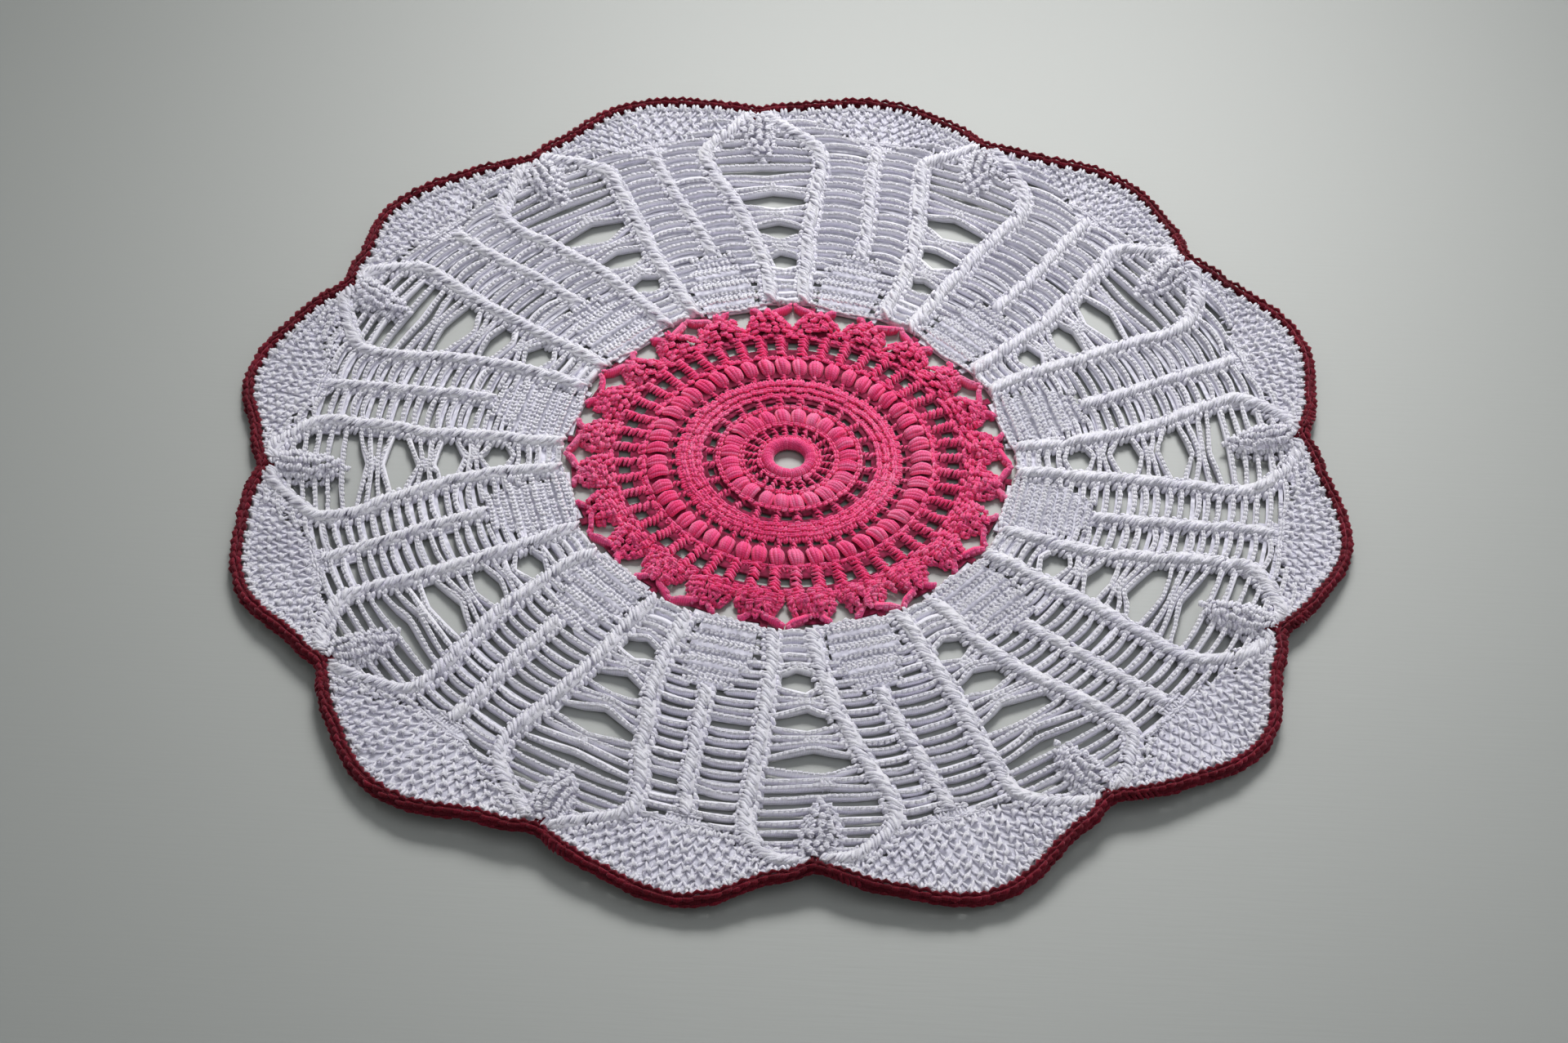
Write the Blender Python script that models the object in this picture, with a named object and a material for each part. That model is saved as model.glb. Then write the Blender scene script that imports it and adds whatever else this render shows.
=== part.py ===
"""A round crocheted doily lying flat: a pink medallion, a white field of leaves and fans, a dark red edging.

Metres, +Z up. The origin is the middle of the doily's eyelet, on the surface it lies on, and +Y points to
its far edge. Radii are shares of RADIUS, angles are degrees counter-clockwise from +X, and heights are
millimetres above the plain face of the cloth. Three closed sheets, 0.3 mm apart, lie one inside the other.
"""
import math
from types import SimpleNamespace

import bmesh
import bpy
import numpy as np
from mathutils.geometry import delaunay_2d_cdt

# Driving dimensions
RADIUS = 0.150
THICKNESS = 0.0018
SEAM_GAP = 0.0003
MM = 0.001
SECTORS = 12
TURN = 360.0 / SECTORS

# The medallion is a 24-fold pattern, and every other one of its rim gaps points at a leaf of the field
SHELLS = 24
SHELL_PITCH = 360.0 / SHELLS
MEDALLION_TURN = 0.5
EYELET_RADIUS = 0.029
SEAM_RADIUS = 0.400
SEAM_WAVE = 0.009

# Radius, points in the round, height of the even points, height of the points between them
MEDALLION_ROUNDS = (
    (0.045, 24, 0.7, 0.7),
    (0.064, 24, 0.0, 0.0),
    (0.080, 24, 0.1, 0.1),
    (0.101, 48, 1.4, 0.2),
    (0.123, 24, 0.1, 0.1),
    (0.164, 24, 0.1, 0.1),
    (0.173, 24, 0.6, 0.6),
    (0.181, 24, 0.2, 0.2),
    (0.190, 24, 0.6, 0.6),
    (0.199, 24, 0.0, 0.0),
    (0.215, 48, 0.0, 0.0),
    (0.235, 96, 1.2, 0.1),
    (0.255, 48, 0.0, 0.0),
    (0.264, 48, 0.5, 0.5),
    (0.274, 96, 0.6, 0.0),
    (0.302, 96, 0.6, 0.0),
    (0.317, 48, 0.0, 0.0),
)
# Radius, angle from the shell's middle and height of the points on one shell
SHELL_FACE = ((0.336, -4.0, 0.6), (0.336, 0.0, 0.8), (0.336, 4.0, 0.6), (0.362, 0.0, 1.0), (0.384, 0.0, 0.5))
# Radius and angle from the gap's middle of one side of a rim gap, from its inner point outwards
RIM_GAP_SIDE = ((0.329, 0.0), (0.350, 3.0), (0.377, 4.5))
RIM_GAP_TOP = (0.395, 2.2)
CLOSED_GAP_RIM = (-3.0, 0.0, 3.0)
OPEN_GAP_HALF = 4.6
SQUARE_GAP = ((0.133, -4.2), (0.155, -4.6), (0.155, 4.6), (0.133, 4.2))

# One row for each sector: the leaf's angle at half the radius, its width against the common one, its notch
# in the rim and how high that floats, the lobe's tip that follows it, and the slit some leaves have
SECTOR_COLUMNS = ("leaf", "width", "notch", "notch_r", "notch_lift", "tip", "tip_r", "tip_lift", "slit")
SECTOR_ROWS = (
    (2.75, 0.96, 6.0, 0.954, 2.0, 21.0, 1.028, 0.4, 1),
    (32.75, 0.95, 37.0, 0.955, 1.5, 51.0, 1.025, 0.0, 0),
    (62.75, 0.91, 67.0, 0.964, 1.0, 80.0, 1.025, 0.0, 0),
    (92.50, 0.95, 95.5, 0.974, 1.5, 109.0, 1.035, 0.0, 0),
    (122.25, 1.00, 124.0, 0.959, 1.0, 140.0, 1.022, 0.0, 0),
    (153.00, 1.00, 154.0, 0.952, 1.0, 170.0, 1.019, 0.0, 0),
    (182.50, 1.00, 184.5, 0.955, 2.0, 201.0, 1.018, 0.5, 1),
    (212.25, 1.01, 214.5, 0.958, 3.0, 230.5, 1.046, 1.0, 0),
    (242.50, 1.04, 246.0, 0.968, 4.0, 261.0, 1.020, 1.5, 0),
    (273.00, 1.05, 274.0, 0.943, 4.5, 290.0, 1.039, 1.5, 0),
    (303.50, 1.01, 305.5, 0.954, 4.5, 321.5, 1.037, 1.2, 0),
    (333.70, 1.03, 336.0, 0.952, 3.0, 350.0, 1.017, 0.8, 1),
)
# The rim between two notches: share of the way up to the tip, at equal steps from notch to tip to notch
LOBE_RISE = (0.00, 0.20, 0.44, 0.60, 0.80, 0.95, 1.00, 0.94, 0.77, 0.50, 0.29, 0.19)
LIFT_FROM = 0.80

# The leaf: radius, lean of its axis and half of its width in degrees; ribs follow both sides to the notch
LEAF_SHAPE = (
    (0.412, -0.2, 4.5),
    (0.500, 0.0, 4.7),
    (0.600, 0.7, 5.5),
    (0.700, 1.6, 6.9),
    (0.800, 2.5, 8.3),
    (0.860, 2.8, 7.8),
    (0.900, 2.8, 5.4),
    (0.926, 2.8, 2.5),
)
# Radius, half angle and half height of the leaf's three openings, and of the slit past them
LEAF_GAPS = ((0.516, 1.6, 0.023), (0.607, 3.1, 0.019), (0.702, 4.6, 0.018))
LEAF_SLIT = (0.776, 5.0, 0.010)
LEAF_TIES = ((0.567, 1.2), (0.655, 0.9), (0.742, 0.7))
RIB_HALF_WIDTH = 0.0021
RIB_HEIGHT = 1.5

# The middle rib: radius and angle from the leaf
MIDDLE_RIB = ((0.556, 14.5), (0.650, 15.4), (0.750, 16.5), (0.850, 17.3))
MIDDLE_RIB_HEIGHT = 1.3

# The ladders: each gap spans two of the real bars' spaces
LADDER_FROM = 0.595
LADDER_STEPS = 6
LADDER_PITCH = 0.045
LADDER_GAP = 0.020
LADDER_MARGIN = 0.0006

# The dense block between two leaves: radius, half angle and height of its ridges and furrows
BLOCK_MIDDLE = 14.6
BLOCK_ROWS = (
    (0.425, 7.4, 0.7),
    (0.441, 7.4, 0.1),
    (0.457, 7.4, 0.7),
    (0.473, 7.2, 0.1),
    (0.489, 6.8, 0.7),
    (0.505, 6.0, 0.1),
    (0.521, 5.0, 0.7),
    (0.537, 4.2, 0.1),
)

# The pleated tuft in front of each notch: distance from the notch, half width in metres, height of its crest
TUFT = (
    (0.148, 0.0008, 1.0),
    (0.118, 0.0022, 2.8),
    (0.076, 0.0028, 3.8),
    (0.046, 0.0024, 3.2),
    (0.032, 0.0012, 1.2),
)
NOTCH_CLEAR = 0.034

# The fan of each lobe: distance of its ridges from the middle rib's end, and the half angle they span
FAN_CENTRE = 0.862
FAN_RIDGES = ((0.046, 66.0), (0.084, 62.0), (0.120, 56.0))
FAN_HEIGHT = 0.5

# The edging: a row of stitches with a round back
EDGING_WIDTH = 0.0030
EDGING_SHOULDER = 0.0013
EDGING_CREST = 0.0028
RIM_STEPS = 16


def polar(radius, degrees):
    """A point in the plan, from a share of the radius and an angle."""
    a = math.radians(degrees)
    return np.array((radius * RADIUS * math.cos(a), radius * RADIUS * math.sin(a)))


def along(rows, radius, column):
    """A column of a table, read between its rows."""
    return float(np.interp(radius, [row[0] for row in rows], [row[column] for row in rows]))


def sectors():
    """The table of sectors, with names for its columns."""
    return [SimpleNamespace(**dict(zip(SECTOR_COLUMNS, row))) for row in SECTOR_ROWS]


def cyclic(samples, position):
    """A smooth closed curve through equally spaced samples."""
    i = math.floor(position)
    t = position - i
    a, b, c, d = (samples[(i + k) % len(samples)] for k in (-1, 0, 1, 2))
    square = 2 * a - 5 * b + 4 * c - d
    cube = 3 * b - a - 3 * c + d
    return 0.5 * (2 * b + (c - a) * t + square * t ** 2 + cube * t ** 3)


def rim_samples():
    """Angle and radius of the rim at the steps of LOBE_RISE, right round the doily."""
    rows = sectors()
    samples = []
    for k, row in enumerate(rows):
        after = rows[(k + 1) % SECTORS]
        end = after.notch + (360.0 if after.notch < row.notch else 0.0)
        for i, rise in enumerate(LOBE_RISE):
            half = len(LOBE_RISE) // 2
            if i <= half:
                angle = row.notch + (row.tip - row.notch) * i / half
            else:
                angle = row.tip + (end - row.tip) * (i - half) / half
            foot = row.notch_r if i <= half else after.notch_r
            samples.append((angle, foot + (row.tip_r - foot) * rise))
    return samples


def rim_curve(inset):
    """The rim's points, counter-clockwise, moved inwards by a distance."""
    samples = rim_samples()
    radii = [radius for _, radius in samples]
    count = SECTORS * RIM_STEPS
    points = []
    for n in range(count):
        position = n * len(samples) / count
        i = math.floor(position)
        first = samples[i][0]
        second = samples[(i + 1) % len(samples)][0]
        if second < first:
            second += 360.0
        points.append(polar(cyclic(radii, position), first + (second - first) * (position - i)))
    points = np.array(points)
    tangent = np.roll(points, -1, axis=0) - np.roll(points, 1, axis=0)
    tangent /= np.linalg.norm(tangent, axis=1)[:, None]
    inward = np.stack((-tangent[:, 1], tangent[:, 0]), axis=1)
    return points + inward * inset


def lift(point):
    """How far the cloth floats above the surface: only the rim does, most at its notches."""
    radius = math.hypot(*point) / RADIUS
    share = min(max((radius - LIFT_FROM) / (1.0 - LIFT_FROM), 0.0), 1.0)
    angle = math.degrees(math.atan2(point[1], point[0])) % 360.0
    stations = []
    for row in sectors():
        stations += [(row.notch, row.notch_lift), (row.tip, row.tip_lift)]
    stations.sort()
    height = np.interp(angle, [s[0] for s in stations], [s[1] for s in stations], period=360.0)
    return float(height) * MM * share * share * (3.0 - 2.0 * share)


class Plan:
    """The plan of a sheet: its outline and gaps, and the raised points and lines of its face."""

    def __init__(self):
        self.points, self.heights, self.edges, self.loops = [], [], [], []

    def add(self, point, height=0.0):
        self.points.append(point)
        self.heights.append(height * MM)
        return len(self.points) - 1

    def line(self, points, heights):
        ids = [self.add(p, h) for p, h in zip(points, heights)]
        self.edges += list(zip(ids[:-1], ids[1:]))

    def loop(self, points):
        ids = [self.add(p) for p in points]
        self.loops.append(ids)
        self.edges += list(zip(ids, ids[1:] + ids[:1]))

    def cord(self, points, half_width, height):
        """A raised cord: its crest, and a foot on each side of it."""
        points = np.array(points)
        tangent = np.gradient(points, axis=0)
        tangent /= np.linalg.norm(tangent, axis=1)[:, None]
        side = np.stack((-tangent[:, 1], tangent[:, 0]), axis=1)
        half = np.broadcast_to(half_width, len(points))[:, None]
        self.line(points, np.broadcast_to(height, len(points)))
        self.line(points + side * half, np.zeros(len(points)))
        self.line(points - side * half, np.zeros(len(points)))


def inside(plan, centres):
    """Which of these places are on the cloth: within the outline and in none of the gaps."""
    x, y = centres[:, 0], centres[:, 1]
    crossings = np.zeros(len(centres), dtype=int)
    for loop in plan.loops:
        for i, j in zip(loop, loop[1:] + loop[:1]):
            (ax, ay), (bx, by) = plan.points[i], plan.points[j]
            if ay != by:
                crosses = (ay > y) != (by > y)
                crossings += crosses & (x < ax + (y - ay) * (bx - ax) / (by - ay))
    return crossings % 2 == 1


def triangles(plan, ids):
    """The triangles of the sheet's face between these points of the plan, which keep every line."""
    place = {old: new for new, old in enumerate(ids)}
    edges = [(place[a], place[b]) for a, b in plan.edges if a in place and b in place]
    result = delaunay_2d_cdt([tuple(map(float, plan.points[i])) for i in ids], edges, [], 0, 1e-7)
    verts, faces, origin = result[0], result[2], result[3]
    if any(len(o) != 1 for o in origin):
        raise ValueError("two lines of the plan cross or touch")
    corners = np.array([[verts[i][:] for i in face] for face in faces])
    keep = inside(plan, corners.mean(axis=1))
    return [[ids[origin[i][0]] for i in face] for face, kept in zip(faces, keep) if kept]


def sheet(name, plan, finish):
    """The closed solid of a plan: its raised face, its underside and the walls of its outline and gaps."""
    bm = bmesh.new()
    floor = [lift(p) for p in plan.points]
    top = [bm.verts.new((*p, z + THICKNESS + h)) for p, z, h in zip(plan.points, floor, plan.heights)]
    rim = [i for loop in plan.loops for i in loop]
    under = {i: bm.verts.new((*plan.points[i], floor[i])) for i in rim}
    for face in triangles(plan, list(range(len(plan.points)))):
        bm.faces.new([top[i] for i in face])
    for face in triangles(plan, rim):
        bm.faces.new([under[i] for i in reversed(face)])
    for loop in plan.loops:
        for i, j in zip(loop, loop[1:] + loop[:1]):
            bm.faces.new((top[i], top[j], under[j], under[i]))
    finish_object(name, bm, finish)


def finish_object(name, bm, finish):
    """A named object of a mesh, with its faces outwards and its yarn's material."""
    bmesh.ops.triangulate(bm, faces=bm.faces[:])
    bmesh.ops.recalc_face_normals(bm, faces=bm.faces[:])
    mesh = bpy.data.meshes.new(name)
    bm.to_mesh(mesh)
    bm.free()
    mesh.materials.append(finish)
    bpy.context.scene.collection.objects.link(bpy.data.objects.new(name, mesh))


def yarn(name, colour):
    """A matt cotton yarn."""
    material = bpy.data.materials.new(name)
    material.use_nodes = True
    shader = material.node_tree.nodes["Principled BSDF"]
    shader.inputs["Base Color"].default_value = (*colour, 1.0)
    shader.inputs["Roughness"].default_value = 0.75
    shader.inputs["Metallic"].default_value = 0.0
    return material


def seam_radius(degrees):
    """The line where the pink yarn ends and the white begins: it waves out to each leaf."""
    return SEAM_RADIUS + SEAM_WAVE * math.cos(math.radians(SECTORS * (degrees - MEDALLION_TURN)))


def seam_point(degrees, inset):
    """A point near that line, moved inwards by a distance."""
    return polar(seam_radius(degrees) - inset / RADIUS, degrees)


def medallion_outline(plan):
    """Every other rim gap is closed by the pink arms, and those between them are open to the field."""
    outline = []
    for k in range(SHELLS):
        middle = MEDALLION_TURN + k * SHELL_PITCH
        sides = [polar(r, middle + a) for r, a in RIM_GAP_SIDE]
        mirrored = [polar(r, middle - a) for r, a in RIM_GAP_SIDE[:0:-1]]
        if k % 2 == 0:
            radius, angle = RIM_GAP_TOP
            plan.loop(sides + [polar(radius, middle + angle), polar(radius, middle - angle)] + mirrored)
            outline += [seam_point(middle + a, SEAM_GAP) for a in CLOSED_GAP_RIM]
        else:
            outline.append(seam_point(middle - OPEN_GAP_HALF, SEAM_GAP))
            outline += mirrored + sides
            outline.append(seam_point(middle + OPEN_GAP_HALF, SEAM_GAP))
        outline.append(seam_point(middle + SHELL_PITCH / 2, SEAM_GAP))
    plan.loop(outline)


def medallion():
    """The pink middle, worked in rounds from the eyelet out to its pointed shells."""
    plan = Plan()
    plan.loop([polar(EYELET_RADIUS, i * 360.0 / 16) for i in range(16)])
    for radius, count, even, odd in MEDALLION_ROUNDS:
        for i in range(count):
            plan.add(polar(radius, MEDALLION_TURN + i * 360.0 / count), odd if i % 2 else even)
    for k in range(SHELLS):
        middle = MEDALLION_TURN + k * SHELL_PITCH
        plan.loop([polar(r, middle + a) for r, a in SQUARE_GAP])
        for radius, angle, height in SHELL_FACE:
            plan.add(polar(radius, middle + SHELL_PITCH / 2 + angle), height)
    medallion_outline(plan)
    sheet("medallion", plan, yarn("pink_cotton", (0.75, 0.07, 0.19)))


def leaf_side(row, radius, side):
    """Angle of the rib on one side of a leaf: side is 1 for the higher angle and -1 for the lower."""
    lean = along(LEAF_SHAPE, radius, 1)
    last = LEAF_SHAPE[-1][0]
    if radius > LEAF_SHAPE[4][0]:
        share = (radius - LEAF_SHAPE[4][0]) / (last - LEAF_SHAPE[4][0])
        lean += (row.notch - row.leaf - lean) * share
    return row.leaf + lean + side * row.width * along(LEAF_SHAPE, radius, 2)


def leaf(plan, row):
    """One leaf: a rib up each side, openings with knotted bundles of bars between them, and its tuft."""
    last = min(LEAF_SHAPE[-1][0], row.notch_r - NOTCH_CLEAR)
    radii = [r for r, _, _ in LEAF_SHAPE[:-1]] + [last]
    for side in (1, -1):
        plan.cord([polar(r, leaf_side(row, r, side)) for r in radii], RIB_HALF_WIDTH, RIB_HEIGHT)
    gaps = LEAF_GAPS + ((LEAF_SLIT,) if row.slit else ())
    for radius, half_angle, half_height in gaps:
        axis = row.leaf + along(LEAF_SHAPE, radius, 1)
        loop = []
        for i in range(8):
            t = math.radians(45.0 * i)
            loop.append(polar(radius + half_height * math.sin(t), axis + half_angle * math.cos(t)))
        plan.loop(loop)
    for radius, height in LEAF_TIES:
        plan.add(polar(radius, row.leaf + along(LEAF_SHAPE, radius, 1)), height)
    crest = []
    for distance, _, _ in TUFT:
        radius = row.notch_r - distance
        axis = 0.5 * (leaf_side(row, min(radius, last), 1) + leaf_side(row, min(radius, last), -1))
        crest.append(polar(radius, axis))
    plan.cord(crest, np.array([t[1] for t in TUFT]), np.array([t[2] for t in TUFT]))


def ladders(plan, row, after):
    """The middle rib between two leaves, and the two ladders of bars beside it."""
    points = [polar(r, row.leaf + a) for r, a in MIDDLE_RIB]
    plan.cord(points, RIB_HALF_WIDTH, MIDDLE_RIB_HEIGHT)
    for step in range(LADDER_STEPS):
        low = LADDER_FROM + step * LADDER_PITCH
        corners = {}
        for radius in (low, low + LADDER_GAP):
            clear = math.degrees((RIB_HALF_WIDTH + LADDER_MARGIN) / (radius * RADIUS))
            middle = row.leaf + along(MIDDLE_RIB, radius, 1)
            corners[radius] = (
                leaf_side(row, radius, 1) + clear,
                middle - clear,
                middle + clear,
                leaf_side(after, radius, -1) - clear,
            )
        high = low + LADDER_GAP
        for a, b in ((0, 1), (2, 3)):
            plan.loop([
                polar(low, corners[low][a]),
                polar(low, corners[low][b]),
                polar(high, corners[high][b]),
                polar(high, corners[high][a]),
            ])


def block(plan, row):
    """The dense ridged block between the feet of two leaves."""
    for radius, half_angle, height in BLOCK_ROWS:
        angles = np.linspace(-half_angle, half_angle, 4) + row.leaf + BLOCK_MIDDLE
        plan.line([polar(radius, a) for a in angles], [height] * 4)


def fan(plan, row):
    """The fan of each lobe: ridges round the end of the middle rib."""
    centre = polar(FAN_CENTRE, row.leaf + MIDDLE_RIB[-1][1])
    outwards = math.degrees(math.atan2(*(polar(row.tip_r, row.tip) - centre)[::-1]))
    for distance, half_angle in FAN_RIDGES:
        angles = np.linspace(-half_angle, half_angle, 6) + outwards
        plan.line([centre + polar(distance, a) for a in angles], [FAN_HEIGHT] * 6)


def petal_field():
    """The white field: twelve leaves, blocks, middle ribs with their ladders, and fans."""
    plan = Plan()
    plan.loop(rim_curve(EDGING_WIDTH + SEAM_GAP))
    plan.loop([seam_point(a, 0.0) for a in np.arange(0.0, 360.0, 5.0)])
    rows = sectors()
    for k, row in enumerate(rows):
        after = SimpleNamespace(**vars(rows[(k + 1) % SECTORS]))
        if after.leaf < row.leaf:
            after.leaf += 360.0
            after.notch += 360.0
        leaf(plan, row)
        ladders(plan, row, after)
        block(plan, row)
        fan(plan, row)
    sheet("petal_field", plan, yarn("white_cotton", (0.80, 0.80, 0.88)))


def edging():
    """The dark red row: a round-backed band that follows the rim."""
    section = (
        (0.0, 0.0),
        (0.0, EDGING_SHOULDER),
        (EDGING_WIDTH / 2, EDGING_CREST),
        (EDGING_WIDTH, EDGING_SHOULDER),
        (EDGING_WIDTH, 0.0),
    )
    bm = bmesh.new()
    rings = []
    for inset, height in section:
        rings.append([bm.verts.new((*p, lift(p) + height)) for p in rim_curve(inset)])
    for first, second in zip(rings, rings[1:] + rings[:1]):
        for i in range(len(first)):
            j = (i + 1) % len(first)
            bm.faces.new((first[i], first[j], second[j], second[i]))
    finish_object("edging", bm, yarn("dark_red_cotton", (0.13, 0.01, 0.03)))


for old in list(bpy.data.objects):
    bpy.data.objects.remove(old)
medallion()
petal_field()
edging()
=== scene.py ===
# %% [markdown]
# A round crocheted doily
#
# The real thing is one flat cloth of cotton yarn: a pink medallion, a white field of leaves, ladders and
# fans, and one dark red row round the edge. The imported model gives its plan and relief as three sheets.
# Here each stitch is laid in yarn over that plan: a few short strands are modelled by hand, and copies of
# them are bent along the paths that a hook would lead the yarn. A crochet pattern is a handful of stitches
# repeated in rounds, so the lesson is short: a strand, a few stitches, and the courses that they follow.

# %% The imported model
import math
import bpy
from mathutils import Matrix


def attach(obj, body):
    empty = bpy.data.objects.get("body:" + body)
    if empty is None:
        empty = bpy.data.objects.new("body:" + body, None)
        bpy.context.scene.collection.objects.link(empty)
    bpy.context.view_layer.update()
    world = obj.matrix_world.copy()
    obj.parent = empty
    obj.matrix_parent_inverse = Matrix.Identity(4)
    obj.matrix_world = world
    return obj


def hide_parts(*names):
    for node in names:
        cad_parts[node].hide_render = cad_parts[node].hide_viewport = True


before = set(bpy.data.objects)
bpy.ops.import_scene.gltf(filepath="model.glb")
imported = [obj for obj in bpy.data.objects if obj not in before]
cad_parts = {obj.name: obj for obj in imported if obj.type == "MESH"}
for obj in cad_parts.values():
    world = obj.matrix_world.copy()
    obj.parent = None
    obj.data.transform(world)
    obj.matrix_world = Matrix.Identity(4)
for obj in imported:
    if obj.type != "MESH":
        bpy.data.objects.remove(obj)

from types import SimpleNamespace

import bpy
import numpy as np
from mathutils import Matrix, Vector

bpy.ops.object.select_all(action="DESELECT")
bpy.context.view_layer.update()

# %% [markdown]
# The plan
#
# Radii are shares of the doily's radius and angles are degrees from +X, as a crocheter would chart a round
# pattern. The tables of leaves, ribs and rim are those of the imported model, so that the yarn lies where the
# solids have it, and the blocks keep to theirs. Only the lift of two lobes at the left, and where each fan
# begins, are this script's own. No two of the twelve sectors are quite alike on the real cloth, nor here.

# %% Plan of the twelve sectors
MM = 0.001
RADIUS = 0.150
SECTORS = 12
SHELLS = 24
SHELL_PITCH = 360.0 / SHELLS
MEDALLION_TURN = 0.5
EYELET_RADIUS = 0.029
SEAM_RADIUS = 0.400
SEAM_WAVE = 0.009
ROW_PITCH = 0.0225
EDGING_WIDTH = 0.0030
LIFT_FROM = 0.80

# A leaf's angle and width, the notch at its end, the tip of the lobe after it, with lifts in millimetres,
# whether the leaf has a slit past its three holes, and the radius where the lobe's fan begins
COLUMNS = ("leaf", "width", "notch", "notch_r", "notch_lift", "tip", "tip_r", "tip_lift", "slit", "fan")
SECTOR_ROWS = (
    (2.75, 0.96, 6.0, 0.954, 2.0, 21.0, 1.028, 0.4, 1, 0.864),
    (32.75, 0.95, 37.0, 0.955, 1.5, 51.0, 1.025, 0.0, 0, 0.866),
    (62.75, 0.91, 67.0, 0.964, 1.0, 80.0, 1.025, 0.0, 0, 0.868),
    (92.50, 0.95, 95.5, 0.974, 1.5, 109.0, 1.035, 0.0, 0, 0.868),
    (122.25, 1.00, 124.0, 0.959, 1.0, 140.0, 1.022, 0.0, 0, 0.860),
    (153.00, 1.00, 154.0, 0.952, 1.0, 170.0, 1.019, 0.0, 0, 0.850),
    (182.50, 1.00, 184.5, 0.955, 2.0, 201.0, 1.018, 1.2, 1, 0.842),
    (212.25, 1.01, 214.5, 0.958, 3.0, 230.5, 1.046, 2.4, 0, 0.830),
    (242.50, 1.04, 246.0, 0.968, 4.0, 261.0, 1.020, 1.5, 0, 0.820),
    (273.00, 1.05, 274.0, 0.943, 4.5, 290.0, 1.039, 1.5, 0, 0.822),
    (303.50, 1.01, 305.5, 0.954, 4.5, 321.5, 1.037, 1.2, 0, 0.838),
    (333.70, 1.03, 336.0, 0.952, 3.0, 350.0, 1.017, 0.8, 1, 0.862),
)
sectors = [SimpleNamespace(**dict(zip(COLUMNS, row))) for row in SECTOR_ROWS]
for row, after in zip(sectors, sectors[1:] + sectors[:1]):
    row.after = after
    row.wrap = 360.0 if after.leaf < row.leaf else 0.0
LOBE_RISE = np.array((0.00, 0.20, 0.44, 0.60, 0.80, 0.95, 1.00, 0.94, 0.77, 0.50, 0.29, 0.19))
print("sectors in the plan:", len(sectors), "and mm from row to row:", round(ROW_PITCH * RADIUS / MM, 2))

# %% [markdown]
# Leaves, ribs and blocks
#
# All leaves have one form: how far the middle line leans, and how wide the leaf is, at a few radii. The row
# of a sector turns that form to its place and makes it a little wider or narrower. Middle ribs and blocks
# are given in the same way. Short tables are enough, because the yarn is laid smoothly through its places.

# %% Form of the leaves, ribs and blocks
LEAF_RADII = (0.412, 0.500, 0.600, 0.700, 0.800, 0.860, 0.900, 0.926)
LEAF_LEAN = (-0.2, 0.0, 0.7, 1.6, 2.5, 2.8, 2.8, 2.8)
LEAF_HALF = (4.5, 4.7, 5.5, 6.9, 8.3, 7.8, 5.4, 2.5)
LEAN_BLENDS_FROM = 0.800
MIDDLE_RIB_RADII = (0.556, 0.650, 0.750, 0.850)
MIDDLE_RIB_ANGLES = (14.5, 15.4, 16.5, 17.3)
BLOCK_MIDDLE = 14.6
BLOCK_RADII = (0.405, 0.473, 0.489, 0.505, 0.521, 0.545)
BLOCK_HALF = (7.4, 7.2, 6.8, 6.0, 5.0, 3.6)
print("degrees across the widest part of a leaf:", 2 * max(LEAF_HALF))

# %% [markdown]
# Places in the plan
#
# Each piece asks the same questions: where a share of the radius and an angle lie in metres, where the ribs
# of a leaf run, where the pink yarn ends, and how high the cloth floats. A small function answers each, so
# that the ground and the yarn always agree.

# %% Places in the plan
def polar(radius, degrees, height=0.0):
    """Places in the plan, from shares of the radius, angles, and heights in millimetres."""
    r, a, h = np.broadcast_arrays(radius, np.radians(degrees), height)
    return np.stack((r * RADIUS * np.cos(a), r * RADIUS * np.sin(a), h * MM), axis=-1)


def degrees_of(length, radius):
    """The angle that a length in millimetres takes up at a radius."""
    return np.degrees(length * MM / (radius * RADIUS))


def leaf_axis(row, radius):
    """Angle of a leaf's middle line, which leans over to its notch."""
    lean = np.interp(radius, LEAF_RADII, LEAF_LEAN)
    share = np.clip((radius - LEAN_BLENDS_FROM) / (LEAF_RADII[-1] - LEAN_BLENDS_FROM), 0.0, 1.0)
    return row.leaf + lean + (row.notch - row.leaf - lean) * share


def leaf_side(row, radius, side):
    """Angle of the rib on one side of a leaf: side is 1 for the higher angle and -1 for the lower."""
    return leaf_axis(row, radius) + side * row.width * np.interp(radius, LEAF_RADII, LEAF_HALF)


def next_side(row, radius):
    """Angle of the first rib of the leaf after a sector, counted on past a full turn where need be."""
    return leaf_side(row.after, radius, -1) + row.wrap


def seam_radius(degrees):
    """Where the pink yarn ends and the white begins: a line that waves out to each leaf."""
    return SEAM_RADIUS + SEAM_WAVE * np.cos(np.radians(SECTORS * (degrees - MEDALLION_TURN)))


def lift(points):
    """How far the cloth floats above the table at these places: only its rim does, most at the notches."""
    radius = np.hypot(points[..., 0], points[..., 1]) / RADIUS
    share = np.clip((radius - LIFT_FROM) / (1.0 - LIFT_FROM), 0.0, 1.0)
    angle = np.degrees(np.arctan2(points[..., 1], points[..., 0]))
    stations = [(s.notch, s.notch_lift) for s in sectors] + [(s.tip, s.tip_lift) for s in sectors]
    angles, heights = zip(*sorted(stations))
    return np.interp(angle, angles, heights, period=360.0) * MM * share ** 2 * (3.0 - 2.0 * share)


print("the first notch floats, in mm:", round(float(lift(polar(1.0, sectors[0].notch))) / MM, 2))

# %% [markdown]
# The rim
#
# The rim is a smooth closed curve through twelve stations in each lobe. The same curve, moved inwards, is
# the course of the red row and of the last white row, so the three always fit each other. The formula of
# the curve is that of a spline that passes through all its points.

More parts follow.
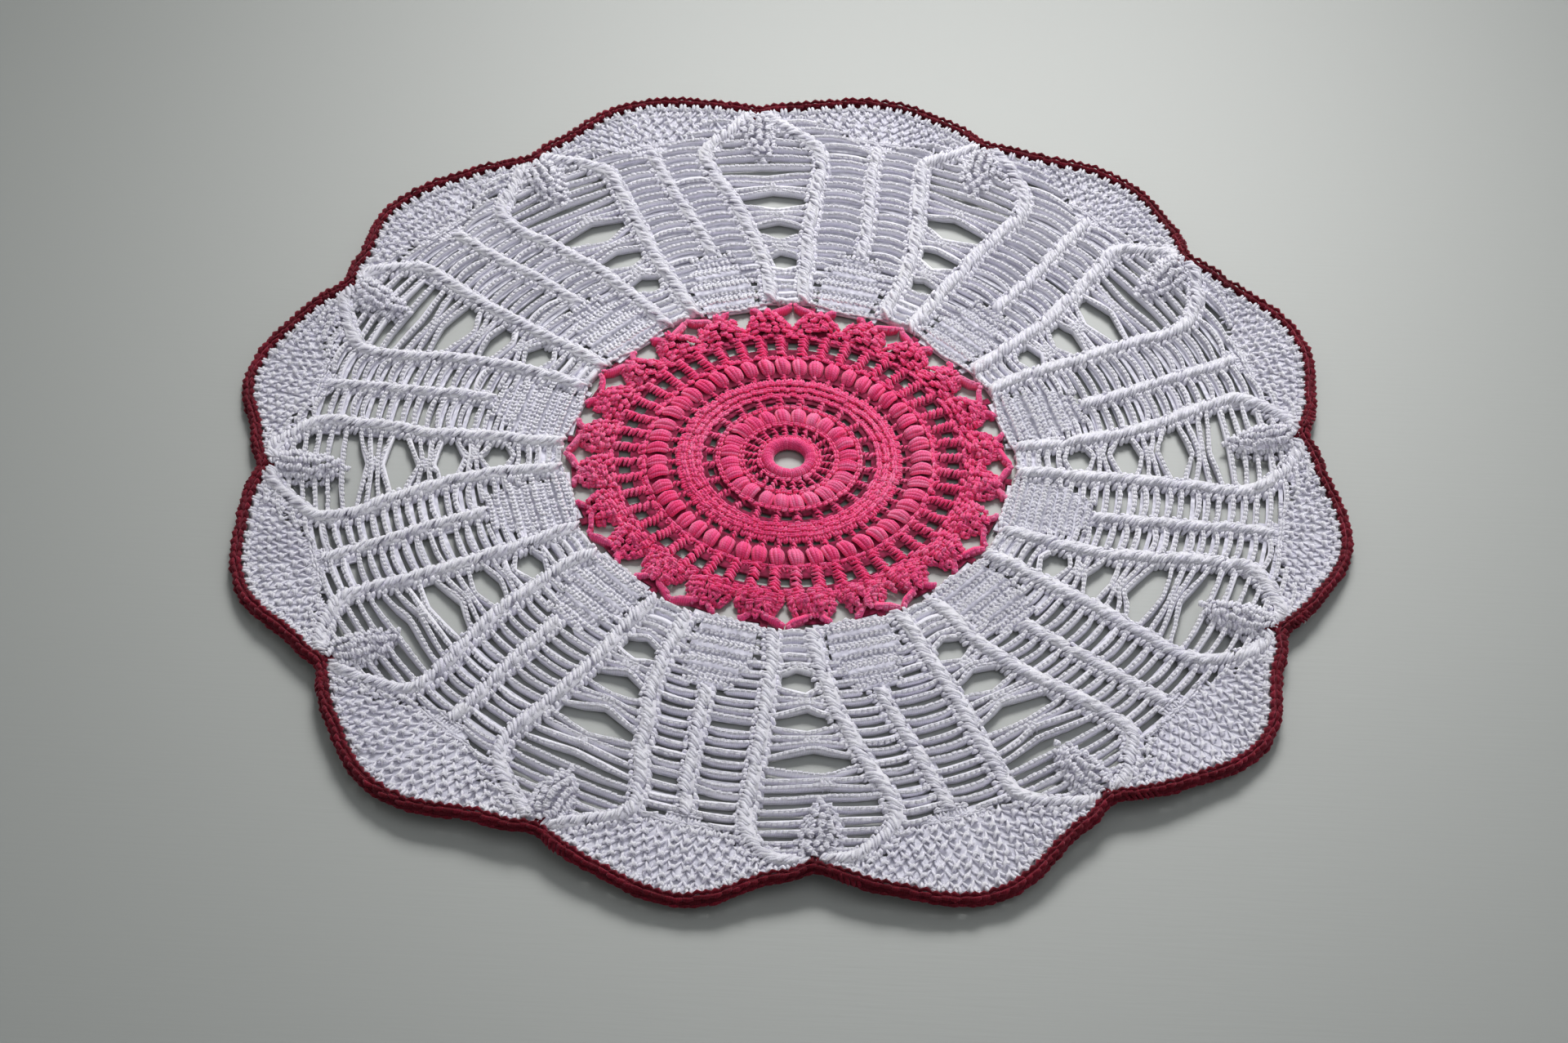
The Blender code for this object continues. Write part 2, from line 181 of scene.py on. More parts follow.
# %% Course of the rim
def rim_curve(inset, count=1440):
    """The rim's points, counter-clockwise, moved inwards by a distance in metres."""
    angles, radii = [], []
    half = len(LOBE_RISE) // 2
    for row in sectors:
        end = row.after.notch + (360.0 if row.after.notch < row.notch else 0.0)
        angles += list(np.linspace(row.notch, row.tip, half, endpoint=False))
        angles += list(np.linspace(row.tip, end, half, endpoint=False))
        foot = np.where(np.arange(2 * half) <= half, row.notch_r, row.after.notch_r)
        radii += list(foot + (row.tip_r - foot) * LOBE_RISE)
    angles, radii = np.unwrap(angles, period=360.0), np.array(radii)
    place = np.arange(count) * len(radii) / count
    i = place.astype(int)
    t = place - i
    a, b, c, d = (radii[(i + k) % len(radii)] for k in (-1, 0, 1, 2))
    radius = 2 * b + (c - a) * t + (2 * a - 5 * b + 4 * c - d) * t ** 2
    radius = 0.5 * (radius + (3 * b - a - 3 * c + d) * t ** 3)
    following = np.append(angles[1:], angles[0] + 360.0)
    points = polar(radius, angles[i] + (following[i] - angles[i]) * t)
    ahead = np.roll(points, -1, axis=0) - np.roll(points, 1, axis=0)
    ahead /= np.linalg.norm(ahead, axis=1)[:, None]
    return points + inset * np.stack((-ahead[:, 1], ahead[:, 0], ahead[:, 2]), axis=1)


RIM = rim_curve(0.0)
RIM_ANGLES = np.degrees(np.arctan2(RIM[:, 1], RIM[:, 0]))
RIM_RADII = np.hypot(RIM[:, 0], RIM[:, 1]) / RADIUS
print("rim length in mm:", round(float(np.linalg.norm(np.diff(RIM, axis=0), axis=1).sum()) / MM))

# %% [markdown]
# Cotton yarn
#
# The yarn is mercerised cotton: fine plies spun together, treated in lye and singed, which leaves it smooth
# with a silky shine and few loose hairs. To the eye that is a satin thread, bright where a strand turns up
# to the light and deep in the crevices, with fine slanting grooves of its plies. Colours are written as on
# a screen, and one function turns them to the linear values that Blender works in.

# %% Colours and a helper for nodes
def linear(code, alpha=1.0):
    """A colour as #rrggbb, turned to linear values."""
    values = [int(code[i:i + 2], 16) / 255.0 for i in (1, 3, 5)]
    return (*(v / 12.92 if v <= 0.04045 else ((v + 0.055) / 1.055) ** 2.4 for v in values), alpha)


def add_node(tree, kind, values={}, links={}, **settings):
    """Add a node with its settings, the values of its inputs and the sockets that feed them."""
    new = tree.nodes.new(kind)
    for name, value in settings.items():
        setattr(new, name, value)
    for socket, value in values.items():
        new.inputs[socket].default_value = value
    for socket, source in links.items():
        tree.links.new(source, new.inputs[socket])
    return new


print("mid grey in linear values:", [round(v, 3) for v in linear("#808080")])

# %% [markdown]
# The dyed yarn
#
# The grooves are a sine wave along the yarn and round it, read from the texture map that each strand brings.
# Real plies are about 0.3 mm apart, and they are drawn 0.55 mm apart, as fine as a render of the whole doily
# can show. The same wave also darkens the colour in the grooves as painted shade and lightens it on the plies
# as painted highlight. A fine noise, about 1 mm, is the little lint that is left. A slow one, about 22 mm,
# and the random part of each strand's tone make the dye uneven; the rest of that tone is a lean, which is
# painted light. Some light passes through the cotton, so that its shadows keep the colour.

# %% Mercerised cotton
PLY_SPACING = 0.55
PLIES = 2.0
LINT_TO_A_MM = 0.9
BLOTCHES_TO_A_MM = 0.045


def mercerised_cotton(name, deep, plain, bright, sheen_tint, through_light):
    """Spun, singed and mercerised cotton yarn in one dye: satin, with its plies and an uneven uptake, and
    with painted shade in its ply grooves, painted highlight on its plies and each strand's painted lean in
    its colour.
    """
    material = bpy.data.materials.new(name)
    material.use_nodes = True
    tree = material.node_tree
    shader = tree.nodes["Principled BSDF"]
    shader.inputs["Roughness"].default_value = 0.72
    shader.inputs["IOR"].default_value = 1.53
    shader.inputs["Specular IOR Level"].default_value = 0.10
    shader.inputs["Subsurface Weight"].default_value = 0.55
    shader.inputs["Subsurface Radius"].default_value = through_light
    shader.inputs["Subsurface Scale"].default_value = 1.2 * MM
    shader.inputs["Sheen Weight"].default_value = 0.40
    shader.inputs["Sheen Roughness"].default_value = 0.55
    shader.inputs["Sheen Tint"].default_value = linear(sheen_tint)
    yarn = add_node(tree, "ShaderNodeUVMap", uv_map="yarn")
    split = add_node(tree, "ShaderNodeSeparateXYZ", links={0: yarn.outputs[0]})
    along = add_node(
        tree, "ShaderNodeMath", {1: math.tau / PLY_SPACING}, {0: split.outputs["Y"]}, operation="MULTIPLY")
    around = add_node(
        tree, "ShaderNodeMath", {1: math.tau * PLIES}, {0: split.outputs["X"]}, operation="MULTIPLY")
    phase = add_node(
        tree, "ShaderNodeMath", links={0: along.outputs[0], 1: around.outputs[0]}, operation="ADD")
    twist = add_node(tree, "ShaderNodeMath", links={0: phase.outputs[0]}, operation="SINE")
    place = add_node(tree, "ShaderNodeTexCoord").outputs["Object"]
    lint = add_node(
        tree, "ShaderNodeTexNoise", {"Scale": LINT_TO_A_MM / MM, "Detail": 3.0}, {"Vector": place})
    grooves = add_node(
        tree, "ShaderNodeMath", {1: 0.35}, {0: twist.outputs[0], 2: lint.outputs[0]},
        operation="MULTIPLY_ADD")
    bump = add_node(
        tree, "ShaderNodeBump", {"Strength": 0.6, "Distance": 0.05 * MM}, {"Height": grooves.outputs[0]})
    tone_and_painted_light = add_node(tree, "ShaderNodeAttribute", attribute_name="tone_and_painted_light")
    blotch = add_node(
        tree, "ShaderNodeTexNoise", {"Scale": BLOTCHES_TO_A_MM / MM, "Detail": 2.0}, {"Vector": place})
    mixed = add_node(
        tree, "ShaderNodeMath", {1: 0.6}, {0: blotch.outputs[0], 2: tone_and_painted_light.outputs["Fac"]},
        operation="MULTIPLY_ADD")
    # Painted shade in the ply grooves and painted highlight on the plies: the ply wave shifts the colour, on
    # top of the dye's blotches and each strand's tone.
    shade = add_node(
        tree, "ShaderNodeMath", {1: 0.10}, {0: twist.outputs[0], 2: mixed.outputs[0]},
        operation="MULTIPLY_ADD")
    dye_and_painted_light = add_node(tree, "ShaderNodeValToRGB", links={0: shade.outputs[0]})
    dye_and_painted_light.color_ramp.elements[0].position = 0.30
    dye_and_painted_light.color_ramp.elements[0].color = linear(deep)
    dye_and_painted_light.color_ramp.elements[1].position = 1.0
    dye_and_painted_light.color_ramp.elements[1].color = linear(bright)
    dye_and_painted_light.color_ramp.elements.new(0.68).color = linear(plain)
    tree.links.new(dye_and_painted_light.outputs[0], shader.inputs["Base Color"])
    tree.links.new(bump.outputs[0], shader.inputs["Normal"])
    return material


print("mm from ply to ply:", PLY_SPACING)

# %% [markdown]
# Three dyes
#
# The pink is strong and a little blue, the white is a cool bleached one, and the red is so dark that it is
# almost black in its hollows. Each dye has a deep, a plain and a bright shade, the tint of its sheen, and how
# far red, green and blue light pass through it. Ply, strand and slow noise together say which shade shows:
# the slow noise and each strand's random tone are the dye's own unevenness, while the ply grooves and the
# lean of each strand pick deeper shades as painted shade and brighter ones as painted highlight.

# %% The three dyes
pink_yarn = mercerised_cotton(
    "mercerised_cotton_pink", "#d22c64", "#ff4a87", "#ff86ae", "#ffb8cc", (1.0, 0.80, 0.85))
white_yarn = mercerised_cotton(
    "mercerised_cotton_white", "#d8d5e6", "#ebe9f5", "#f4f2fb", "#f6f6fb", (1.0, 1.0, 1.0))
red_yarn = mercerised_cotton(
    "mercerised_cotton_dark_red", "#3c030c", "#5c0919", "#7e172c", "#d98090", (0.5, 0.1, 0.1))
print("yarns:", [m.name for m in (pink_yarn, white_yarn, red_yarn)])

# %% [markdown]
# One strand
#
# Everything on the doily is the same kind of yarn, so one strand is modelled: a four-sided cylinder with
# its ends drawn out to points, cut across so that it can bend. It is kept low in faces, because the cloth
# takes about 47,000 copies. It is made in five cuts: a bead and a leg for parts of a stitch, a bar and a
# core for longer bends, and a slab, turned to lie on a flat side, for the insides of cords and ribs.

# %% Modelling the strand
def pick(test):
    """In edit mode, select the vertices of the active mesh whose place passes a test, and no others."""
    bpy.ops.mesh.select_all(action="DESELECT")
    bpy.ops.object.mode_set(mode="OBJECT")
    for vertex in bpy.context.object.data.vertices:
        vertex.select = bool(test(vertex.co))
    bpy.ops.object.mode_set(mode="EDIT")


def model_strand(cuts, shoulder=0.14, waist=0.62, spin=0.0):
    """A strand of length and radius 1 along Z, cut across at some heights, as arrays that can be copied."""
    bpy.ops.mesh.primitive_cylinder_add(
        vertices=4, radius=1.0, depth=1.0 - 2 * shoulder, end_fill_type="TRIFAN", location=(0, 0, 0.5),
        rotation=(0, 0, math.radians(spin)))
    bpy.ops.object.transform_apply()
    model = bpy.context.object
    bpy.ops.object.mode_set(mode="EDIT")
    bpy.ops.mesh.select_mode(type="VERT")
    for cut in cuts:
        bpy.ops.mesh.select_all(action="SELECT")
        bpy.ops.mesh.bisect(plane_co=(0, 0, cut), plane_no=(0, 0, 1))
    for end, way in ((shoulder, -1), (1.0 - shoulder, 1)):
        pick(lambda co: abs(co.z - end) < 0.01)
        bpy.ops.transform.resize(value=(waist, waist, 1.0))
        pick(lambda co: abs(co.z - end) < 0.01 and co.xy.length < 0.01)
        bpy.ops.transform.translate(value=(0, 0, way * shoulder))
    bpy.ops.object.mode_set(mode="OBJECT")
    mesh = model.data
    places = np.array([v.co[:] for v in mesh.vertices])
    sizes = np.array([len(p.vertices) for p in mesh.polygons])
    corners = np.concatenate([list(p.vertices) for p in mesh.polygons])
    wraps = []
    for face in mesh.polygons:
        middle = math.atan2(face.center.y, face.center.x)
        for i in face.vertices:
            x, y, z = places[i]
            turn = 0.0 if math.hypot(x, y) < 0.01 else math.remainder(math.atan2(y, x) - middle, math.tau)
            wraps.append(((middle + turn) / math.tau, z))
    bpy.data.objects.remove(model)
    return SimpleNamespace(places=places, sizes=sizes, corners=corners, wraps=np.array(wraps))


BEAD = model_strand((), shoulder=0.26, waist=1.0)
LEG = model_strand((0.5,))
BAR = model_strand((0.32, 0.5, 0.68))
SLAB = model_strand((0.32, 0.5, 0.68), shoulder=0.10, waist=0.80, spin=45.0)
CORE = model_strand((0.22, 0.36, 0.5, 0.64, 0.78), shoulder=0.07)
print("faces of a bead, leg, bar, slab and core:", [len(s.sizes) for s in (BEAD, LEG, BAR, SLAB, CORE)])

# %% [markdown]
# Laying yarn
#
# A copy of the strand is bent along a smooth curve through a few points. All copies of one stitch are bent at
# once, as arrays, and gathered until their piece is finished. Each copy gets its own random tone, for no two
# stitches take the dye and the light alike, so that tone is partly the dye's own and partly painted light,
# and the texture map runs along the yarn in millimetres. Strands that stand high are leaned lighter, as
# painted highlight, and cores and strands beneath are leaned darker, as painted shade.
# The random numbers are seeded, so each run lays the same yarn.

# %% Smooth curves through points
rng = np.random.default_rng(12)
UP = np.array((0.0, 0.0, 1.0))
gathered = []


def unit(vectors):
    """The same directions at length one."""
    return vectors / np.maximum(np.linalg.norm(vectors, axis=-1, keepdims=True), 1e-12)


def through(shares, count):
    """Weights that give the smooth curve through a number of points at some shares of its run."""
    weights = np.zeros((len(shares), count))
    place = np.clip(shares, 0.0, 1.0) * (count - 1)
    first = np.minimum(place.astype(int), count - 2)
    t = place - first
    basis = (
        0.5 * (-t + 2 * t ** 2 - t ** 3),
        0.5 * (2 - 5 * t ** 2 + 3 * t ** 3),
        0.5 * (t + 4 * t ** 2 - 3 * t ** 3),
        0.5 * (-t ** 2 + t ** 3),
    )
    for row, (i, parts) in enumerate(zip(first, zip(*basis))):
        for k, part in zip(range(i - 1, i + 3), parts):
            if k < 0:
                weights[row, 0] += 2 * part
                weights[row, 1] -= part
            elif k >= count:
                weights[row, -1] += 2 * part
                weights[row, -2] -= part
            else:
                weights[row, k] += part
    return weights


def smooth(points, count=24):
    """A smooth dense course through a few places."""
    points = np.asarray(points, dtype=float)
    return through(np.linspace(0.0, 1.0, count), len(points)) @ points


print("weights half-way between the middle two of four points:", through(np.array([0.5]), 4)[0])

# %% [markdown]
# Bending a strand
#
# The strand's own z says how far along the path each of its points goes. Its x becomes sideways and its y
# becomes up, both square to the path, which is how a straight model turns into a bent one.

# %% Bending copies of a strand along paths
STEP = 0.02


def lay(strand, paths, thick, flat=1.0, lean=0.0):
    """Bend a copy of the strand along each path, an array of copies, points and x, y, z. Thick is its radius
    in millimetres, flat squeezes or stretches its height, and lean lightens or darkens its tone: painted
    highlight for strands that stand high, painted shade for cores and strands beneath."""
    paths = np.asarray(paths, dtype=float)
    paths = paths.reshape(-1, *paths.shape[-2:])
    count = paths.shape[1]
    x, y, share = strand.places.T
    middle = through(share, count) @ paths
    onwards = through(np.clip(share, STEP, 1.0), count)
    ahead = unit((onwards - through(np.clip(share, 0.0, 1.0 - STEP) - STEP, count)) @ paths + 1e-9)
    side = unit(np.cross(UP + np.array((0.01, 0.02, 0.0)), paths[:, -1] - paths[:, 0]))[:, None, :]
    side = unit(side - ahead * np.sum(side * ahead, axis=-1, keepdims=True))
    over = np.cross(ahead, side)
    thick = np.tile(thick, len(paths) // np.size(thick))[:, None, None] * MM
    lean = np.tile(lean, len(paths) // np.size(lean))
    places = middle + thick * (x[:, None] * side + flat * y[:, None] * over)
    places[..., 2] = np.maximum(places[..., 2], 0.05 * MM)
    length = np.linalg.norm(np.diff(paths, axis=1), axis=-1).sum(axis=1) / MM
    wraps = np.broadcast_to(strand.wraps, (len(paths), *strand.wraps.shape)).copy()
    wraps[:, :, 1] *= length[:, None]
    wraps += rng.random((len(paths), 1, 2))
    # Random tone of the dye, shifted by the lean as painted light.
    tone_and_painted_light = np.clip(rng.normal(0.38 + lean, 0.07), 0.0, 1.0)
    gathered.append((strand, places, wraps, tone_and_painted_light))


print("heights at which a bar can bend:", sorted(set(np.round(BAR.places[:, 2], 2).tolist())))

# %% [markdown]
# From strands to a piece
#
# All strands of a piece become one mesh, written straight from the arrays, as copies joined by hand would
# be. The whole piece is then lifted with the cloth, made smooth, and named for the node that it stands for.

# %% Joining the yarn to a piece
def finish_piece(name, material, node):
    """Join the yarn gathered so far to one piece, which lies on the plan's lift and replaces a node."""
    starts = np.cumsum([0] + [p.shape[0] * p.shape[1] for _, p, _, _ in gathered])
    places = np.concatenate([p.reshape(-1, 3) for _, p, _, _ in gathered])
    places[:, 2] += lift(places)
    strands = sum(len(p) for _, p, _, _ in gathered)
    corners, sizes = [], []
    for start, (strand, p, _, _) in zip(starts, gathered):
        shift = start + np.arange(len(p))[:, None] * p.shape[1]
        corners.append((strand.corners[None, :] + shift).ravel())
        sizes.append(np.tile(strand.sizes, len(p)))
    corners, sizes = np.concatenate(corners), np.concatenate(sizes)
    mesh = bpy.data.meshes.new(name)
    mesh.vertices.add(len(places))
    mesh.vertices.foreach_set("co", places.ravel())
    mesh.loops.add(len(corners))
    mesh.loops.foreach_set("vertex_index", corners)
    mesh.polygons.add(len(sizes))
    mesh.polygons.foreach_set("loop_start", np.concatenate(([0], np.cumsum(sizes)[:-1])))
    mesh.update(calc_edges=True)
    wraps = np.concatenate([w.reshape(-1, 2) for _, _, w, _ in gathered])
    mesh.uv_layers.new(name="yarn").data.foreach_set("uv", wraps.ravel())
    tones = np.concatenate([np.repeat(t, p.shape[1]) for _, p, _, t in gathered])
    mesh.attributes.new("tone_and_painted_light", "FLOAT", "POINT").data.foreach_set("value", tones)
    mesh.materials.append(material)
    piece = bpy.data.objects.new(name, mesh)
    bpy.context.scene.collection.objects.link(piece)
    bpy.context.view_layer.objects.active = piece
    piece.select_set(True)
    bpy.ops.object.shade_smooth()
    piece.select_set(False)
    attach(piece, "root")
    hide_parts(node)
    gathered.clear()
    print(name, "strands:", strands, "triangles:", int((sizes - 2).sum()))
    return piece


# %% [markdown]
# Stitches
#
# A stitch is a few strands, each given by three or four points in millimetres: along the course, to its
# left, and up. A chain is a row of loops, each drawn through the one before, so that its two legs make a V,
# and the small stitch of the blocks is the same V, wide open. A dense stitch has a V on top and two legs
# down to the row before it. A net stitch has two long legs, a knot over their feet and a thread behind. A
# twist is one slanting turn round a post. A rib is a column of tall stitches: each is drawn up over the one
# before at a slant, so that the column twists like a cord, and its flanks are the stitches' feet.

# %% The stitches
CHAIN = np.array((
    ((-0.66, 0.06, 0.55), (-0.22, 0.29, 1.10), (0.28, 0.27, 1.22), (0.70, 0.02, 0.60)),
    ((-0.66, -0.06, 0.55), (-0.22, -0.29, 1.10), (0.28, -0.27, 1.22), (0.70, -0.02, 0.60)),
))
DENSE = np.array((
    ((-1.15, 0.05, 1.45), (-0.35, 0.58, 1.95), (0.60, 0.50, 2.05), (1.30, -0.05, 1.50)),
    ((-1.15, -0.10, 1.45), (-0.35, -0.52, 1.90), (0.60, -0.46, 2.00), (1.30, -0.15, 1.50)),
    ((-0.62, -0.10, 1.30), (-0.55, -1.10, 1.60), (-0.35, -2.10, 1.45), (-0.15, -3.10, 0.90)),
    ((0.62, -0.10, 1.30), (0.55, -1.10, 1.60), (0.35, -2.10, 1.45), (0.15, -3.10, 0.90)),
))
SMALL = np.array((
    ((-0.60, 0.66, 0.70), (-0.28, 0.40, 1.20), (0.12, 0.08, 1.15), (0.34, -0.12, 0.65)),
    ((-0.60, -0.66, 0.70), (-0.28, -0.40, 1.15), (0.12, -0.08, 1.10), (0.34, 0.12, 0.65)),
))
NET = np.array((
    ((-0.20, -0.20, 1.75), (-0.60, 0.85, 1.80), (-1.20, 2.10, 1.70), (-1.70, 3.10, 1.55)),
    ((0.20, -0.20, 1.75), (0.60, 0.85, 1.80), (1.20, 2.10, 1.70), (1.70, 3.10, 1.55)),
    ((-1.05, -0.70, 1.35), (-0.50, 0.05, 2.45), (0.30, 0.25, 2.60), (0.95, -0.30, 1.60)),
    ((-0.80, 0.55, 1.50), (-0.20, 0.75, 2.35), (0.55, 0.45, 2.40), (1.05, -0.10, 1.70)),
    ((0.00, 1.10, 0.95), (0.05, 2.10, 1.05), (0.00, 3.00, 1.10), (0.00, 3.60, 1.00)),
))
NET_THICK = (0.46, 0.46, 0.66, 0.58, 0.50)
# Painted light on the net stitch: its knots lighter as painted highlight, its legs a little darker and its
# thread behind darker still, as painted shade.
NET_PAINTED_LIGHT = (-0.04, -0.04, 0.06, 0.06, -0.12)
TWIST = np.array((
    ((-0.75, -1.35, 0.70), (-0.35, -0.90, 1.95), (0.35, 0.70, 2.20), (0.80, 1.35, 0.90)),
))
CORD = np.array((
    ((-1.0, 0.0, 1.4), (0.0, 0.0, 1.4), (1.0, 0.0, 1.4)),
))
RIB = np.array((
    ((-1.95, -1.60, 2.10), (-0.95, -0.85, 3.35), (0.45, 0.30, 3.60), (1.75, 1.25, 2.55)),
    ((-0.95, -1.90, 1.70), (0.00, -1.10, 3.10), (1.10, 0.05, 3.40), (2.35, 1.30, 2.35)),
    ((-0.05, -2.00, 1.50), (0.85, -1.40, 2.90), (1.95, -0.30, 3.45), (3.05, 0.80, 2.90)),
))
RIB_THICK = np.array((0.70, 0.56, 0.62))
# Painted highlight on the first and last twisted strands of a rib, and a touch of painted shade on the middle
# one.
RIB_PAINTED_LIGHT = (0.08, -0.01, 0.04)
FLANK = np.array((
    ((-1.00, -2.60, 0.30), (-0.40, -2.30, 1.60), (0.35, -1.70, 2.80)),
    ((-0.60, 1.30, 2.80), (0.15, 1.95, 1.80), (0.75, 2.35, 0.35)),
))
print("strands in a chain, a dense stitch, a rib's row:", len(CHAIN), len(DENSE), len(RIB) + len(FLANK))

# %% [markdown]
# Working along a course
#
# A hook makes the same stitch again and again along the row before. Here a stitch is repeated along a
# course, a whole number of times, and none is quite like the next: each is shifted a little as a whole,
# and each of its points a little more. Chains and ribs are used most, so they get a function each.

# %% How stitches follow a course
def work(points, pitch, stitch, thick, scale=1.0, up_by=0.0, strand=LEG, roll=0.0, loose=0.10, lean=0.0,
         phase=0.5):
    """Repeat a stitch along a course, scaled and raised. Roll turns it about the course in degrees."""
    run = np.concatenate(([0.0], np.cumsum(np.linalg.norm(np.diff(points, axis=0), axis=1))))
    count = max(1, round(run[-1] / (pitch * MM)))
    where = (np.arange(count) + phase) * run[-1] / count
    here, before, after = (
        np.stack([np.interp(where + s, run, points[:, k]) for k in range(3)], axis=1)
        for s in (0.0, -0.3 * MM, 0.3 * MM)
    )
    ahead = unit(after - before)
    left = unit(np.cross(UP, ahead))
    up = np.cross(ahead, left)
    shaped = (stitch * scale + (0.0, 0.0, up_by))[None]
    local = shaped + rng.normal(0.0, loose, (count, 1, 1, 3))
    local = local + rng.normal(0.0, loose / 2, (count, *shaped.shape[1:]))
    local[..., 0] *= run[-1] / MM / count / pitch
    turn = np.radians(np.broadcast_to(roll, count))[:, None, None]
    leftward = local[..., 1] * np.cos(turn) - local[..., 2] * np.sin(turn)
    upward = local[..., 1] * np.sin(turn) + local[..., 2] * np.cos(turn)
    parts = zip((local[..., 0], leftward, upward), (ahead, left, up))
    paths = here[:, None, None] + sum(p[..., None] * MM * d[:, None, None] for p, d in parts)
    lay(strand, paths, thick, lean=lean)


CHAIN_PITCH = 1.45


def chain(points, thick=0.37, pitch=CHAIN_PITCH, roll=0.0):
    """A chain cord along a course: a plain core that stands on edge, with its plaited legs on top."""
    course = smooth(points, 25)
    # Painted shade makes the core a little darker, and painted highlight makes the plaited legs on top
    # lighter.
    lay(SLAB, course[None, ::4], thick * 2.0, flat=1.95, lean=-0.06)
    work(course, pitch, CHAIN, thick * 1.05, strand=BEAD, roll=roll, loose=0.06, lean=0.12)


def rib(points, size=1.0):
    """A raised rib along a course: it is twisted like a cord, with finer strands at its foot."""
    points = np.asarray(points, dtype=float) + rng.normal(0.0, 0.22 * MM, np.shape(points)) * (1.0, 1.0, 0.4)
    course = smooth(points, 60)
    for part in np.array_split(np.arange(len(course)), 6):
        stretch = course[part[0]:part[-1] + 2]
        lay(SLAB, smooth(stretch + UP * 1.55 * size * MM, 5)[None], 2.35 * size, flat=0.90)
    work(course, 3.4, RIB, RIB_THICK * size, (1.0, 1.14 * size, size), loose=0.19, lean=RIB_PAINTED_LIGHT)
    work(course, 1.55, FLANK, 0.68 * size, (1.0, 1.10 * size, size), strand=BEAD, loose=0.16)


print("stitches in 10 mm of chain:", round(10.0 / CHAIN_PITCH))

# %% [markdown]
# The ground of the cloth
#
# Under the stitches runs the cloth itself, as one thin sheet with true gaps: it closes the dense parts as
# packed yarn does, and its flat size and area can be read from it. A plain grid is bent round the middle,
# its faces over the gaps are deleted, and Solidify gives it the thickness of one yarn.

# %% A grid bent round the middle
GROUND_THICK = 0.0006
GROUND_HEIGHT = 0.0011


def polar_ground(name, turns, rings, radius_of, kept, material, node):
    """A thin round sheet: a grid bent round the middle, without the faces that the test leaves out."""
    bpy.ops.mesh.primitive_grid_add(x_subdivisions=turns, y_subdivisions=rings, size=2.0)
    ground = bpy.context.object
    ground.name = ground.data.name = name
    mesh = ground.data
    flat = np.array([v.co[:] for v in mesh.vertices])
    angle = (flat[:, 0] + 1.0) * 180.0
    places = polar(radius_of(np.rint((flat[:, 1] + 1.0) * rings / 2).astype(int), angle), angle)
    mesh.vertices.foreach_set("co", places.ravel())
    mesh.update()
    middles = np.array([p.center[:] for p in mesh.polygons])
    rows = np.array([(flat[p.vertices[0], 1] + flat[p.vertices[2], 1]) / 2 for p in mesh.polygons])
    rows = np.floor((rows + 1.0) * rings / 2).astype(int)
    radius = np.hypot(middles[:, 0], middles[:, 1]) / RADIUS
    degrees = np.degrees(np.arctan2(middles[:, 1], middles[:, 0])) % 360.0
    keep = kept(radius, degrees, rows)
    area = float(sum(p.area for p, k in zip(mesh.polygons, keep) if k))
    bpy.ops.object.mode_set(mode="EDIT")
    bpy.ops.mesh.select_mode(type="FACE")
    bpy.ops.mesh.select_all(action="DESELECT")
    bpy.ops.object.mode_set(mode="OBJECT")
    mesh.polygons.foreach_set("select", ~keep)
    bpy.ops.object.mode_set(mode="EDIT")
    bpy.ops.mesh.delete(type="FACE")
    bpy.ops.mesh.select_all(action="SELECT")
    bpy.ops.mesh.remove_doubles(threshold=0.02 * MM)
    bpy.ops.mesh.normals_make_consistent(inside=False)
    bpy.ops.object.mode_set(mode="OBJECT")
    solidify = ground.modifiers.new("thickness", "SOLIDIFY")
    solidify.thickness = GROUND_THICK
    solidify.offset = 0.0
    bpy.ops.object.modifier_apply(modifier="thickness")
    bpy.ops.object.shade_smooth_by_angle(angle=math.radians(40.0))
    mesh = ground.data
    places = np.array([v.co[:] for v in mesh.vertices])
    places[:, 2] += GROUND_HEIGHT + lift(places)
    mesh.vertices.foreach_set("co", places.ravel())
    mesh.update()
    mesh.materials.append(material)
    ground.select_set(False)
    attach(ground, "root")
    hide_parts(node)
    print(name, "faces:", len(mesh.polygons), "cloth in square centimetres:", round(area * 1e4, 1))
    return ground, area


print("thickness of the ground in mm:", GROUND_THICK / MM)

# %% [markdown]
# Packed cotton
#
# Between the stitches the eye sees the same yarn again, packed side by side and in the shade of the strands
# above it. So the ground is matt, painted deeper in colour as painted shade, and broken up in cells about as
# large as a stitch, with painted shade darkest at the edges of the cells.

# %% The material of the grounds
def packed_cotton(name, deep, plain, grain):
    """The same yarn packed side by side, seen between the stitches: matt, painted deeper as painted shade,
    and darkest between its small knots.
    """
    material = bpy.data.materials.new(name)
    material.use_nodes = True
    tree = material.node_tree
    shader = tree.nodes["Principled BSDF"]
    shader.inputs["Roughness"].default_value = 0.8
    shader.inputs["Specular IOR Level"].default_value = 0.1
    shader.inputs["Sheen Weight"].default_value = 0.2
    place = add_node(tree, "ShaderNodeTexCoord").outputs["Object"]
    knots = add_node(tree, "ShaderNodeTexVoronoi", {"Scale": 1.0 / (grain * MM)}, {"Vector": place})
    depth = knots.outputs["Distance"]
    dye_and_painted_light = add_node(tree, "ShaderNodeValToRGB", links={0: depth})
    dye_and_painted_light.color_ramp.elements[0].color = linear(plain)
    dye_and_painted_light.color_ramp.elements[1].position = 0.7
    dye_and_painted_light.color_ramp.elements[1].color = linear(deep)
    bump = add_node(
        tree, "ShaderNodeBump", {"Strength": 1.0, "Distance": 0.3 * MM}, {"Height": depth}, invert=True)
    tree.links.new(dye_and_painted_light.outputs[0], shader.inputs["Base Color"])
    tree.links.new(bump.outputs[0], shader.inputs["Normal"])
    return material


